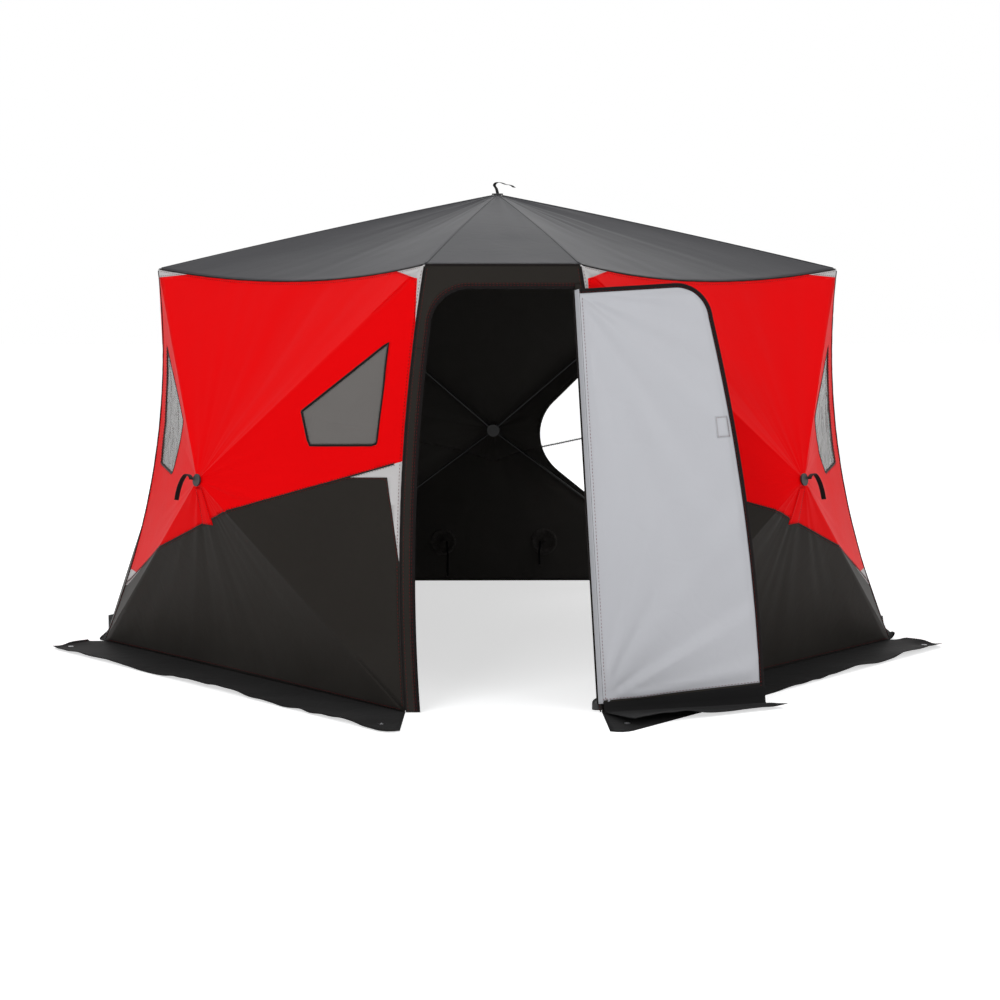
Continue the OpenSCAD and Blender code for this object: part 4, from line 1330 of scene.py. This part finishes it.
class HUT_OT_straps(bpy.types.Operator):
    """Make the hub pull straps, the sewn tabs below the hubs and the peak strap"""
    bl_idname = "hut.straps"
    bl_label = "Straps and tabs"

    @staticmethod
    def tab_half(y):
        """Half of a pull tab's width, y below its hub."""
        return (TAB_NARROW + (TAB_WIDE - TAB_NARROW) * (y - TAB_TOP) / TAB_LENGTH) / 2

    def execute(self, context):
        found = panels()
        straps, tabs, sewn = Parts(), Parts(), []
        cap = 0.026
        for panel in found.values():
            wall = panel.wall
            hub = wall.local(wall.hub)
            path = smooth_path(STRAP_PATH, 40)
            pts = np.stack([hub[0] + cap + 0.0018 + path[:, 0], hub[1] + path[:, 1],
                            np.full(len(path), HUB_PUSH + 0.0113)], 1)
            pts, out = wall.world(pts), panel.outwards()
            webbing_strip(straps, mirrored(pts) if panel.right else pts, out, STRAP_W)
            # a pull tab, sewn flat below the hub
            rows = []
            for y in np.linspace(TAB_TOP, TAB_TOP + TAB_LENGTH, 16):
                w = self.tab_half(y)
                rows.append(panel.on([[hub[0] + w * f, hub[1] - y] for f in np.linspace(-1, 1, 9)], 0.0022))
            flat = np.stack(rows).reshape(-1, 3)
            tabs.add(flat, wound(grid_faces(16, 9), flat, 40, out))
            low, high = TAB_TOP + TAB_LENGTH - TAB_HEM, TAB_TOP + TAB_HEM
            for f in (-0.86, 0.86):
                sewn.append(panel.on([[hub[0] + f * self.tab_half(y), hub[1] - y]
                                      for y in np.linspace(high, low, 12)], 0.0032))
            for y, w in ((high, 0.019), (low, 0.034)):
                sewn.append(panel.on([[hub[0] + w * f, hub[1] - y] for f in np.linspace(-1, 1, 8)], 0.0032))
        obj = outward_normals(straps.object("hub_pull_straps"))
        finished(obj, HUT, "webbing", [webbing()], ["hub_straps"])
        cloth(obj)
        sewn_sheet(tabs.object("hub_tab_cloth"), HUT, "red_fabric", [red_cloth(), red_cloth()], ["hub_tabs"],
                   STRAP_THICK)
        row = bead_row("hub_tab_stitches", sewn, black_thread(), 0.008, 0.005, 0.0014)
        finished(row, HUT, "webbing", [black_thread()])
        peak = Parts()
        path = smooth_path(PEAK_PATH, 50)
        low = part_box("peak_strap")[0]
        pts = np.stack([path[:, 0], np.full(len(path), PEAK[1]), low.z + path[:, 1]], 1)
        webbing_strip(peak, pts, [0.6, 0.8, 0], STRAP_W)
        obj = outward_normals(peak.object("peak_pull_strap"))
        finished(obj, HUT, "webbing", [webbing()], ["peak_strap"])
        cloth(obj)
        return {"FINISHED"}


TIES_AT = (0.3, 0.7)  # up the corner seam, as shares of its length


class HUT_OT_rear_door(bpy.types.Operator):
    """Make the rolled rear door beside its corner, with its two ties"""
    bl_idname = "hut.rear_door"
    bl_label = "Rolled rear door"

    def execute(self, context):
        steps = 8
        t = np.linspace(1 / steps, (steps - 1) / steps, 90)
        line = seam(BL, t)
        lean = np.gradient(line, axis=0)
        lean /= np.linalg.norm(lean, axis=1)[:, None]
        side = inward(BL) - (lean @ inward(BL))[:, None] * lean
        side /= np.linalg.norm(side, axis=1)[:, None]
        radius = 0.032
        line = mirrored(line + (radius + 0.0048) * side)
        ang = np.linspace(0, 2 * np.pi, 36, endpoint=False)
        axis = np.gradient(line, axis=0)
        axis /= np.linalg.norm(axis, axis=1)[:, None]
        x = unit(np.cross([0, 0, 1], inward(BL) * [-1, 1, 1]))
        y = np.cross(axis, x)
        ties = sum(np.exp(-((t - at) / 0.012) ** 2) for at in TIES_AT)
        shape = radius * (0.90 + 0.05 * np.sin(ang * 1.0 + 0.6)[None, :] - 0.14 * ties[:, None]
                          + 0.05 * noise(ang[None, :] * 1.6, t[:, None] * 16, 301))
        # the cloth's free edge shows as a step along the roll
        shape = shape - 0.06 * radius * (ang > 4.2)[None, :] * (ang < 4.6)[None, :]
        ring = line[:, None] + shape[..., None] * (
            x * np.cos(ang)[None, :, None] + y[:, None] * np.sin(ang)[None, :, None])
        parts = Parts()
        n = len(ang)
        faces = ring_faces(len(line), n)
        verts = [ring.reshape(-1, 3)]
        count = len(line) * n
        for end, at in ((0, line[0]), (len(line) - 1, line[-1])):
            last = end * n
            for f, dip in ((0.8, 0.003), (0.6, -0.001), (0.4, 0.003), (0.15, 0.0)):
                push = axis[end] * dip * (1 if end == 0 else -1)
                verts.append(at + (ring[end] - at) * f + push)
                faces += [(last + j, last + (j + 1) % n, count + (j + 1) % n, count + j) for j in range(n)]
                last, count = count, count + n
            faces.append(tuple(last + j for j in range(n)))
        parts.add(np.concatenate(verts), faces)
        obj = outward_normals(parts.object("rear_door_rolled"))
        finished(obj, HUT, "black_fabric", [dark_lining()], ["rear_door_roll"])
        ribbons = Parts()
        for at in TIES_AT:
            i = int(np.argmin(np.abs(t - at)))
            loop = line[i] + radius * 0.84 * (x * np.cos(ang)[:, None] + y[i] * np.sin(ang)[:, None])
            loop = np.concatenate([loop, loop[:1]])
            w = np.linspace(-0.009, 0.009, 3)
            sheet = loop[:, None] + axis[i] * w[None, :, None]
            ribbons.add(sheet.reshape(-1, 3), grid_faces(len(loop), 3))
        obj = outward_normals(ribbons.object("rear_door_ties"))
        sewn_sheet(obj, HUT, "webbing", [webbing(), webbing()], (),
                   STRAP_THICK, offset=0.0)
        return {"FINISHED"}


# radius and height of a vent sleeve, from its sewn foot over the roll and into the gathered middle
VENT_PROFILE = [(0.072, -0.010), (0.073, -0.004), (0.071, 0.004), (0.064, 0.010), (0.056, 0.007),
                (0.050, -0.001), (0.040, -0.004), (0.028, -0.002), (0.016, 0.002), (0.008, 0.009),
                (0.006, 0.014), (0.0035, 0.016)]


class HUT_OT_vents(bpy.types.Operator):
    """Make the gathered floor-vent sleeves inside the back wall"""
    bl_idname = "hut.vents"
    bl_label = "Floor vents"

    def execute(self, context):
        wall = WALLS[BL]
        co = np.array([v.co for v in frame["nodes"]["floor_vents"].data.vertices], float)
        sleeves, ties = Parts(), Parts()
        for sign in (-1, 1):
            own = co[co[:, 0] * sign > 0]
            mid = (own.min(0) + own.max(0)) / 2
            spread = own - own.mean(0)
            _, _, axes = np.linalg.svd(spread, full_matrices=False)
            normal = axes[2] if axes[2] @ wall.out < 0 else -axes[2]
            x = unit(np.cross([0, 0, 1], normal))
            y = np.cross(normal, x)
            ang = np.linspace(0, 2 * np.pi, 120, endpoint=False)
            rings = []
            for s, (r, h) in enumerate(VENT_PROFILE):
                pleat = 0.0018 * min(1, s / 3) * np.cos(ang * 22 + 0.5 * noise(ang * 3, ang * 0 + s, 401))
                rr = r + pleat * 0.4
                rings.append(mid + x * (rr * np.cos(ang))[:, None] + y * (rr * np.sin(ang))[:, None]
                             + normal * (h + pleat)[:, None])
            n = len(ang)
            end = tuple((len(rings) - 1) * n + j for j in range(n))
            sleeves.add(np.concatenate(rings), ring_faces(len(rings), n) + [end])
            drop = 0.125 if sign < 0 else 0.06
            tail = [mid + normal * lift + x * aside * -sign - y * fall for lift, aside, fall in (
                (0.012, 0.022, 0.0), (0.015, 0.024, 0.03), (0.013, 0.028, 0.07), (0.006, 0.026, 0.07 + drop))]
            webbing_strip(ties, smooth_path(tail, 24), x, 0.010, 0.0014)
        obj = facing(sleeves.object("floor_vent_sleeves"), -wall.out)
        finished(obj, HUT, "black_fabric", [dark_lining()], ["floor_vents"])
        cloth(obj, one_side_area(obj))
        obj = outward_normals(ties.object("floor_vent_ties"))
        finished(obj, HUT, "webbing", [webbing()])
        cloth(obj)
        return {"FINISHED"}


class HUT_OT_frame_parts(bpy.types.Operator):
    """Give the poles, hubs, sockets, feet and eyelets their finishes"""
    bl_idname = "hut.frame_parts"
    bl_label = "Frame parts"

    def execute(self, context):
        black = moulded("moulded black plastic", shade(34, 34, 35))
        pole = moulded("black pole", shade(26, 26, 27), rough=0.3, grain=200)
        metal = moulded("plated metal", shade(200, 200, 204), rough=0.28, metal=1.0)
        for node, mat in (("wall_poles", pole), ("roof_poles", pole), ("wall_hubs", black), ("roof_hub", black),
                          ("corner_sockets", black), ("feet", black), ("skirt_eyelets", metal)):
            data = frame["nodes"][node].data
            data.materials.clear()
            data.materials.append(mat)
        return {"FINISHED"}


# ---- the door flap, made shut and swung open ----
class HUT_OT_door(bpy.types.Operator):
    """Make the door flap with its lining, zip, hem, hinge edge and ground skirt"""
    bl_idname = "hut.door"
    bl_label = "Door flap"

    def flap_edge(self, y, inset):
        """The flap's free edge at height y, with its rounded top corner."""
        y, r, start = np.asarray(y, float), CORNER_R - FLAP_GAP - inset, TOP - CORNER_R
        over = np.clip((y - start) / r, 0, 1)
        turn = doorway_left(start, 0) + CORNER_R - r * np.sqrt(np.clip(1 - over ** 2, 0, 1))
        return np.where(y > start, turn, doorway_left(y, -FLAP_GAP - inset))

    def execute(self, context):
        black, silver = black_cloth(), silver_lining()
        inset = TAPE - 0.008
        top = TOP - FLAP_GAP - inset
        na, nb = 46, 110
        turn = np.linspace(0, np.pi / 2, 27)[1:]
        y = np.concatenate([np.linspace(FLAP_HEM, TOP - CORNER_R, 84),
                            TOP - CORNER_R + (CORNER_R - FLAP_GAP - inset) * np.sin(turn)])
        y[-1] = top
        a = np.linspace(0, 1, na)
        near, far = hinge_x(y) - WEB, self.flap_edge(y, inset)
        x = near[None, :] + a[:, None] * (far - near)[None, :]
        yy = np.broadcast_to(y, x.shape)
        calm = soft(a / 0.06)[:, None] * soft((1 - a) / 0.06)[:, None] * soft((top - yy) / 0.05)
        ang1 = np.arctan2(top - yy, near[None, :] - x + 0.02)
        ang2 = np.arctan2(yy - FLAP_HEM, near[None, :] - x + 0.02)
        reach = np.hypot(top - yy, near[None, :] - x)
        fold = (noise(ang1 * 9, reach * 0.8, 501) * np.exp(-reach / 0.9)
                + noise(ang2 * 10, yy * 0.9, 502) * np.exp(-(yy - FLAP_HEM) / 0.8)
                + 0.4 * noise(x * 5, yy * 3, 503))
        z = -STEP - size().flap_fold * calm * (0.9 + fold).clip(0, 3)
        pts = swung(from_door(x, yy, z))
        faces = grid_faces(na, nb)
        flap = mesh_object("door_flap_cloth", pts.reshape(-1, 3), faces)
        shown = swung(DOOR_OUT[None] + DOOR_FOOT)[0] - swung(DOOR_FOOT[None])[0]
        facing(flap, shown)
        index = np.arange(na * nb).reshape(na, nb)
        held = np.unique(np.concatenate([index[0], index[-1], index[:, -1], index[:, 0]]))
        relaxed(flap, held, slack=size().flap_slack, limit=size().flap_settle)
        tree = BVHTree.FromPolygons([v.co.copy() for v in flap.data.vertices],
                                    [list(p.vertices) for p in flap.data.polygons])
        sewn_sheet(flap, DOOR, "lining_fabric", [black, silver], ["door_flap"],
                   STRAP_THICK)

        def over(x, y, lift):
            """Points on the lining side of the flap."""
            out = []
            for px, py in zip(np.atleast_1d(x), np.atleast_1d(y)):
                hit = tree.find_nearest(Vector(swung(from_door(px, py, -STEP))))[0]
                out.append(np.array(hit) - shown * (0.0018 + lift))
            return np.array(out)

        # zip tape along the free edge, both sides of the cloth
        def edge_line(inset):
            """A line along the flap's free edge and top, inset from them."""
            y = np.linspace(FLAP_HEM, TOP - CORNER_R, 70)
            x0, r = doorway_left(TOP - CORNER_R, 0) + CORNER_R, CORNER_R - FLAP_GAP - inset
            g = np.radians(np.linspace(4, 90, 20))
            xs = np.linspace(x0, float(hinge_x(TOP)) - WEB, 26)[1:]
            return np.concatenate([
                np.stack([doorway_left(y, -FLAP_GAP - inset), y], 1),
                np.stack([x0 - r * np.cos(g), TOP - CORNER_R + r * np.sin(g)], 1),
                np.stack([xs, np.full(len(xs), TOP - FLAP_GAP - inset)], 1)])

        tape = Parts()
        for z, flip in ((-STEP + 0.0014, False), (-STEP - 0.0026, True)):
            lines = [edge_line(i) for i in (0.0, 0.006, 0.012, TAPE)]
            sheet = np.stack([from_door(line[:, 0], line[:, 1], z) for line in lines], 1)
            faces = grid_faces(len(lines[0]), len(lines))
            tape.add(swung(sheet.reshape(-1, 3)), [f[::-1] for f in faces] if flip else faces)
        sewn_sheet(tape.object("door_zip_tape"), DOOR, "zip_tape", [zip_tape(), zip_tape()], ["door_zip"],
                   THIN, offset=0.0)
        path = edge_line(0.0015)
        teeth = bead_row("door_zip_teeth", [swung(from_door(path[:, 0], path[:, 1], -STEP - 0.0005))],
                         black_thread(), *ZIP_TOOTH, 0.0045)
        finished(teeth, DOOR, "zip_tape", [black_thread()])
        # hem band and its seam
        xs = np.linspace(float(hinge_x(FLAP_HEM)) - WEB - 0.002, float(self.flap_edge(FLAP_HEM, inset)) + 0.002,
                         50)
        hem = np.stack([over(xs, np.full(len(xs), h), 0.0010) for h in (0.031, 0.034, 0.038, 0.042)], 1)
        obj = facing(mesh_object("door_hem_band", hem.reshape(-1, 3), grid_faces(len(xs), 4)), -shown)
        sewn_sheet(obj, DOOR, "black_fabric", [black, black], (), 0.0009)
        seams = [over(xs, np.full(len(xs), 0.046), 0.0022)]
        line = edge_line(TAPE - 0.004)
        seams.append(over(line[:, 0], line[:, 1], 0.0020))
        y = np.linspace(0.05, top - 0.03, 60)
        seams.append(over(hinge_x(y) - WEB - 0.010, y, 0.0010))
        stitches("door_stitches", seams, red_thread(), WIDE_STITCH, DOOR, "piping")
        # the patch that holds the tie-back
        free = float(self.flap_edge(1.05, TAPE))
        xs, ys = np.linspace(free + 0.012, free + 0.066, 6), np.linspace(1.005, 1.090, 8)
        patch = np.stack([over(xs, np.full(6, h), 0.0012) for h in ys], 1)
        obj = facing(mesh_object("door_tie_patch", patch.reshape(-1, 3), grid_faces(6, 8)), -shown)
        sewn_sheet(obj, DOOR, "lining_fabric", [silver, silver], (), 0.0012)
        left, right, low, high = free + 0.016, free + 0.062, 1.010, 1.085
        ring = resampled([(left, low), (right, low), (right, high), (left, high), (left, low)], 0.006)
        row = bead_row("door_tie_stitches", [over(ring[:, 0], ring[:, 1], 0.0030)], red_thread(), 0.007, 0.0045,
                       0.0014)
        finished(row, DOOR, "piping", [red_thread()])
        # hinge edge: piping on the hinge line and the cloth web from it to the flap
        y = np.linspace(FLAP_HEM, TOP - FLAP_GAP, 90)
        obj = mesh_object("door_hinge_edge", *tube(swung(from_door(hinge_x(y), y, 0.0)), WELT_R))
        finished(outward_normals(obj), DOOR, "piping", [piping_cloth()], ["door_hinge_welt"])
        web = np.stack([swung(from_door(hinge_x(y) - WEB * f, y, -STEP * f)) for f in np.linspace(0, 1, 6)], 1)
        obj = facing(mesh_object("door_hinge_web", web.reshape(-1, 3), grid_faces(len(y), 6)), shown)
        sewn_sheet(obj, DOOR, "lining_fabric", [black, silver], (), STRAP_THICK,
                   offset=0.0)
        self.skirt()
        return {"FINISHED"}

    def skirt(self):
        """The flap's own ground skirt, which lies in front of its hem."""
        low = FLAP_HEM + 0.006
        a = swung(from_door(float(hinge_x(FLAP_HEM)) - WEB, low, -STEP - 0.003))
        b = swung(from_door(float(doorway_left(FLAP_HEM, -FLAP_GAP)), low, -STEP - 0.003))
        along = unit([b[0] - a[0], b[1] - a[1], 0])
        out = np.array([along[1], -along[0], 0])
        run = np.linalg.norm(b - a)
        na, nb = 60, 36
        s, w = np.linspace(0, 1, na), np.linspace(0, 1, nb)
        top = a + (b - a) * s[:, None]
        lap, foot = 0.018, 0.10
        reach = 0.292 - 0.19 * s ** 0.8
        end = lap + (run + 0.055 - lap) * s
        verts = np.zeros((na, nb, 3))
        for j, f in enumerate(w):
            fall = min(f / foot, 1)
            go = max(0, (f - foot) / (1 - foot))
            over, past = run * s * (1 - go) + end * go, lap * fall + (reach - lap) * go
            flat = a * [1, 1, 0] + along * over[:, None] + out * past[:, None]
            z = top[:, 2] * (1 - soft(fall)) + 0.010 * soft(fall)
            curl = 0.030 * go ** 1.4 * (0.5 + 0.5 * noise(s * 3.4, s * 0 + go * 1.2, 601)) ** 2
            curl += 0.006 * go * (0.5 + 0.5 * noise(s * 11, s * 0 + go * 2.5, 602))
            verts[:, j] = flat
            verts[:, j, 2] = z + curl
        obj = facing(mesh_object("door_skirt_cloth", verts.reshape(-1, 3), grid_faces(na, nb)), (0, 0, 1))
        sewn_sheet(obj, DOOR, "skirt_fabric", [skirt_cloth()], ["door_skirt"],
                   SKIRT_THICK)
        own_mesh(obj)


# ---- stage ----
CAMERA_X, CAMERA_D, CAMERA_H, CAMERA_TILT, FOCAL = -0.12, 10.06, 1.590, 5.35, 79.0

# each lamp's place, width and share of the key lamp's power
LAMPS = (("key", (-4.5, -8.5, 6.5), 5.0, 1.0), ("fill", (6.5, -7.0, 4.5), 5.0, 0.45),
         ("top", (0.0, 1.0, 8.5), 6.0, 0.5), ("back", (0.5, 8.5, 5.5), 5.0, 0.35))


def when_seen(tree):
    """A node that gives 1 for rays from the camera, a reflection or a clear pane, and 0 for all others."""
    n, link = tree.nodes, tree.links.new
    path = n.new("ShaderNodeLightPath")
    seen = n.new("ShaderNodeMath")
    seen.operation = "MAXIMUM"
    link(path.outputs["Is Camera Ray"], seen.inputs[0])
    more = n.new("ShaderNodeMath")
    more.operation = "MAXIMUM"
    link(path.outputs["Is Glossy Ray"], more.inputs[0])
    link(path.outputs["Is Transmission Ray"], more.inputs[1])
    link(more.outputs[0], seen.inputs[1])
    return seen


class HUT_OT_stage(bpy.types.Operator):
    """Set the floor, the soft lamps, the pale surroundings and the camera"""
    bl_idname = "hut.stage"
    bl_label = "Stage"

    def execute(self, context):
        scene = bpy.context.scene
        scene.view_settings.view_transform = "Standard"
        world = bpy.data.worlds.new("pale surroundings")
        scene.world = world
        world.use_nodes = True
        n, link = world.node_tree.nodes, world.node_tree.links.new
        dim, bright = n["Background"], n.new("ShaderNodeBackground")
        dim.inputs["Color"].default_value = (1.0, 1.0, 1.0, 1)
        dim.inputs["Strength"].default_value = size().ambient
        bright.inputs["Color"].default_value = (1, 1, 1, 1)
        bright.inputs["Strength"].default_value = 1.0
        seen = when_seen(world.node_tree)
        mix = n.new("ShaderNodeMixShader")
        link(seen.outputs[0], mix.inputs[0])
        link(dim.outputs[0], mix.inputs[1])
        link(bright.outputs[0], mix.inputs[2])
        link(mix.outputs[0], n["World Output"].inputs["Surface"])
        # the floor shows white but keeps a soft shadow
        ground = mesh_object("floor", [(-40, -40, 0), (40, -40, 0), (40, 60, 0), (-40, 60, 0)], [(0, 1, 2, 3)])
        mat = bpy.data.materials.new("pale floor")
        mat.use_nodes = True
        n, link = mat.node_tree.nodes, mat.node_tree.links.new
        matt = n["Principled BSDF"]
        matt.inputs["Base Color"].default_value = (0.86, 0.87, 0.88, 1)
        matt.inputs["Roughness"].default_value = 0.9
        glow = n.new("ShaderNodeEmission")
        glow.inputs["Strength"].default_value = size().floor_glow
        add, pick = n.new("ShaderNodeAddShader"), n.new("ShaderNodeMixShader")
        seen = when_seen(mat.node_tree)
        link(matt.outputs[0], add.inputs[0])
        link(glow.outputs[0], add.inputs[1])
        link(seen.outputs[0], pick.inputs[0])
        link(matt.outputs[0], pick.inputs[1])
        link(add.outputs[0], pick.inputs[2])
        link(pick.outputs[0], n["Material Output"].inputs["Surface"])
        ground.data.materials.append(mat)
        for name, at, width, share in LAMPS:
            lamp = bpy.data.lights.new(name, "AREA")
            lamp.shape, lamp.size, lamp.size_y = "RECTANGLE", width, width * 0.7
            lamp.energy = size().key * share
            obj = bpy.data.objects.new(name, lamp)
            scene.collection.objects.link(obj)
            obj.location = at
            obj.rotation_mode = "QUATERNION"
            obj.rotation_quaternion = (Vector((0, 0, 0.9)) - Vector(at)).to_track_quat("-Z", "Y")
        cam = bpy.data.cameras.new("camera")
        cam.lens, cam.sensor_width, cam.shift_x = FOCAL, 36.0, 0.002
        obj = bpy.data.objects.new("camera", cam)
        scene.collection.objects.link(obj)
        at = Vector((CAMERA_X, -CAMERA_D - MID_Y, CAMERA_H))
        tilt = math.radians(CAMERA_TILT)
        turn = math.atan2(-CAMERA_X, CAMERA_D)
        gaze = Vector((math.sin(turn) * math.cos(tilt), math.cos(turn) * math.cos(tilt), -math.sin(tilt)))
        obj.location = at
        obj.rotation_mode = "QUATERNION"
        obj.rotation_quaternion = gaze.to_track_quat("-Z", "Y")
        scene.camera = obj
        return {"FINISHED"}


def length(name, text, value, low, high):
    return FloatProperty(name=name, description=text, default=value, min=low, max=high, unit="LENGTH",
                         precision=4)


def colour(name, text, value):
    return FloatVectorProperty(name=name, description=text, subtype="COLOR", size=3, min=0, max=1,
                               default=value)


class HutSize(bpy.types.PropertyGroup):
    """Sizes of the hut's cloth and sewing, and the lamps' strength"""
    wrinkle: length("Wrinkle depth", "Depth of the folds in the walls and roof", 0.0045, 0.0, 0.02)
    hollow: length("Panel hollow", "How far a wall panel pulls in between its poles", 0.008, 0.0, 0.03)
    roof_bow: length("Roof bow", "How far the roof poles bow upwards", 0.009, 0.0, 0.01)
    piping: length("Piping radius", "Radius of the piping in the seams", 0.0045, 0.002, 0.008)
    stitch_pitch: length("Stitch pitch", "Distance from one stitch to the next", 0.0135, 0.004, 0.03)
    stitch_length: length("Stitch length", "Length of one stitch", 0.0085, 0.002, 0.02)
    skirt_wave: length("Skirt wave", "Height of the waves in the ground skirts", 0.022, 0.0, 0.05)
    flap_fold: length("Flap folds", "Depth of the folds in the door flap", 0.0105, 0.0, 0.02)
    flap_settle: length("Flap settling", "How far the flap may settle by simulation", 0.004, 0.0, 0.02)
    flap_slack: FloatProperty(name="Flap slack", default=0.004, min=0.0, max=0.03,
                              description="Spare cloth in the door flap, as a share of its size")
    key: FloatProperty(name="Key lamp", description="Power of the main lamp in watts", default=300.0, min=0.0)
    ambient: FloatProperty(name="Surroundings", description="Strength of the light from all round",
                           default=0.44, min=0.0)
    floor_glow: FloatProperty(name="Floor glow", description="Light added where the floor is seen",
                              default=0.63, min=0.0)


class HutLook(bpy.types.PropertyGroup):
    """Colours of the hut's cloth"""
    red: colour("Red", "Colour of the walls' upper cloth", shade(244, 3, 8))
    black: colour("Black", "Colour of the walls' lower cloth", shade(44, 41, 38))
    roof: colour("Roof", "Colour of the roof cloth", shade(66, 66, 69))
    patch: colour("Light grey", "Colour of the corner patches", shade(205, 203, 203))
    lining: colour("Dark lining", "Colour inside the hut", shade(92, 89, 86))
    silver: colour("Silver", "Colour of the door flap's lining", shade(194, 195, 200))
    skirt: colour("Skirt", "Colour of the ground skirts and webbing", shade(21, 21, 22))
    piping: colour("Piping", "Colour of the piping and zip tapes", shade(30, 26, 26))
    thread: colour("Thread", "Colour of the sewing thread", shade(110, 14, 16))
    # the windows' light grey is painted reflection: the clear sheet reflects this light but has no such colour
    # of its own
    window: colour("Window", "Colour of the clear windows", shade(128, 124, 121))
    window_cover: FloatProperty(name="Window cover", description="How much of the light a window holds back",
                                subtype="FACTOR", default=0.62, min=0.0, max=1.0)


STEPS = ("stage", "walls", "roof", "doorway", "seams", "skirts", "straps", "rear_door", "vents", "frame_parts",
         "door")


class HUT_PT_panel(bpy.types.Panel):
    """Lists the hut's pieces in the order in which they are made"""
    bl_idname = "HUT_PT_panel"
    bl_label = "Ice fishing hut"
    bl_space_type = "VIEW_3D"
    bl_region_type = "UI"
    bl_category = "Hut"

    def draw(self, context):
        for group in (context.scene.hut_size, context.scene.hut_look):
            for prop in group.bl_rna.properties:
                if not prop.is_readonly and prop.identifier != "name":
                    self.layout.prop(group, prop.identifier)
        for step in STEPS:
            self.layout.operator(f"hut.{step}")


CLASSES = (HutSize, HutLook, HUT_OT_stage, HUT_OT_walls, HUT_OT_roof, HUT_OT_doorway, HUT_OT_seams,
           HUT_OT_skirts, HUT_OT_straps, HUT_OT_rear_door, HUT_OT_vents, HUT_OT_frame_parts, HUT_OT_door,
           HUT_PT_panel)


def register():
    for c in CLASSES:
        bpy.utils.register_class(c)
    bpy.types.Scene.hut_size = PointerProperty(type=HutSize)
    bpy.types.Scene.hut_look = PointerProperty(type=HutLook)


def unregister():
    del bpy.types.Scene.hut_look, bpy.types.Scene.hut_size
    for c in reversed(CLASSES):
        bpy.utils.unregister_class(c)


def main():
    register()
    for step in STEPS:
        getattr(bpy.ops.hut, step)()


if __name__ == "__main__":
    main()
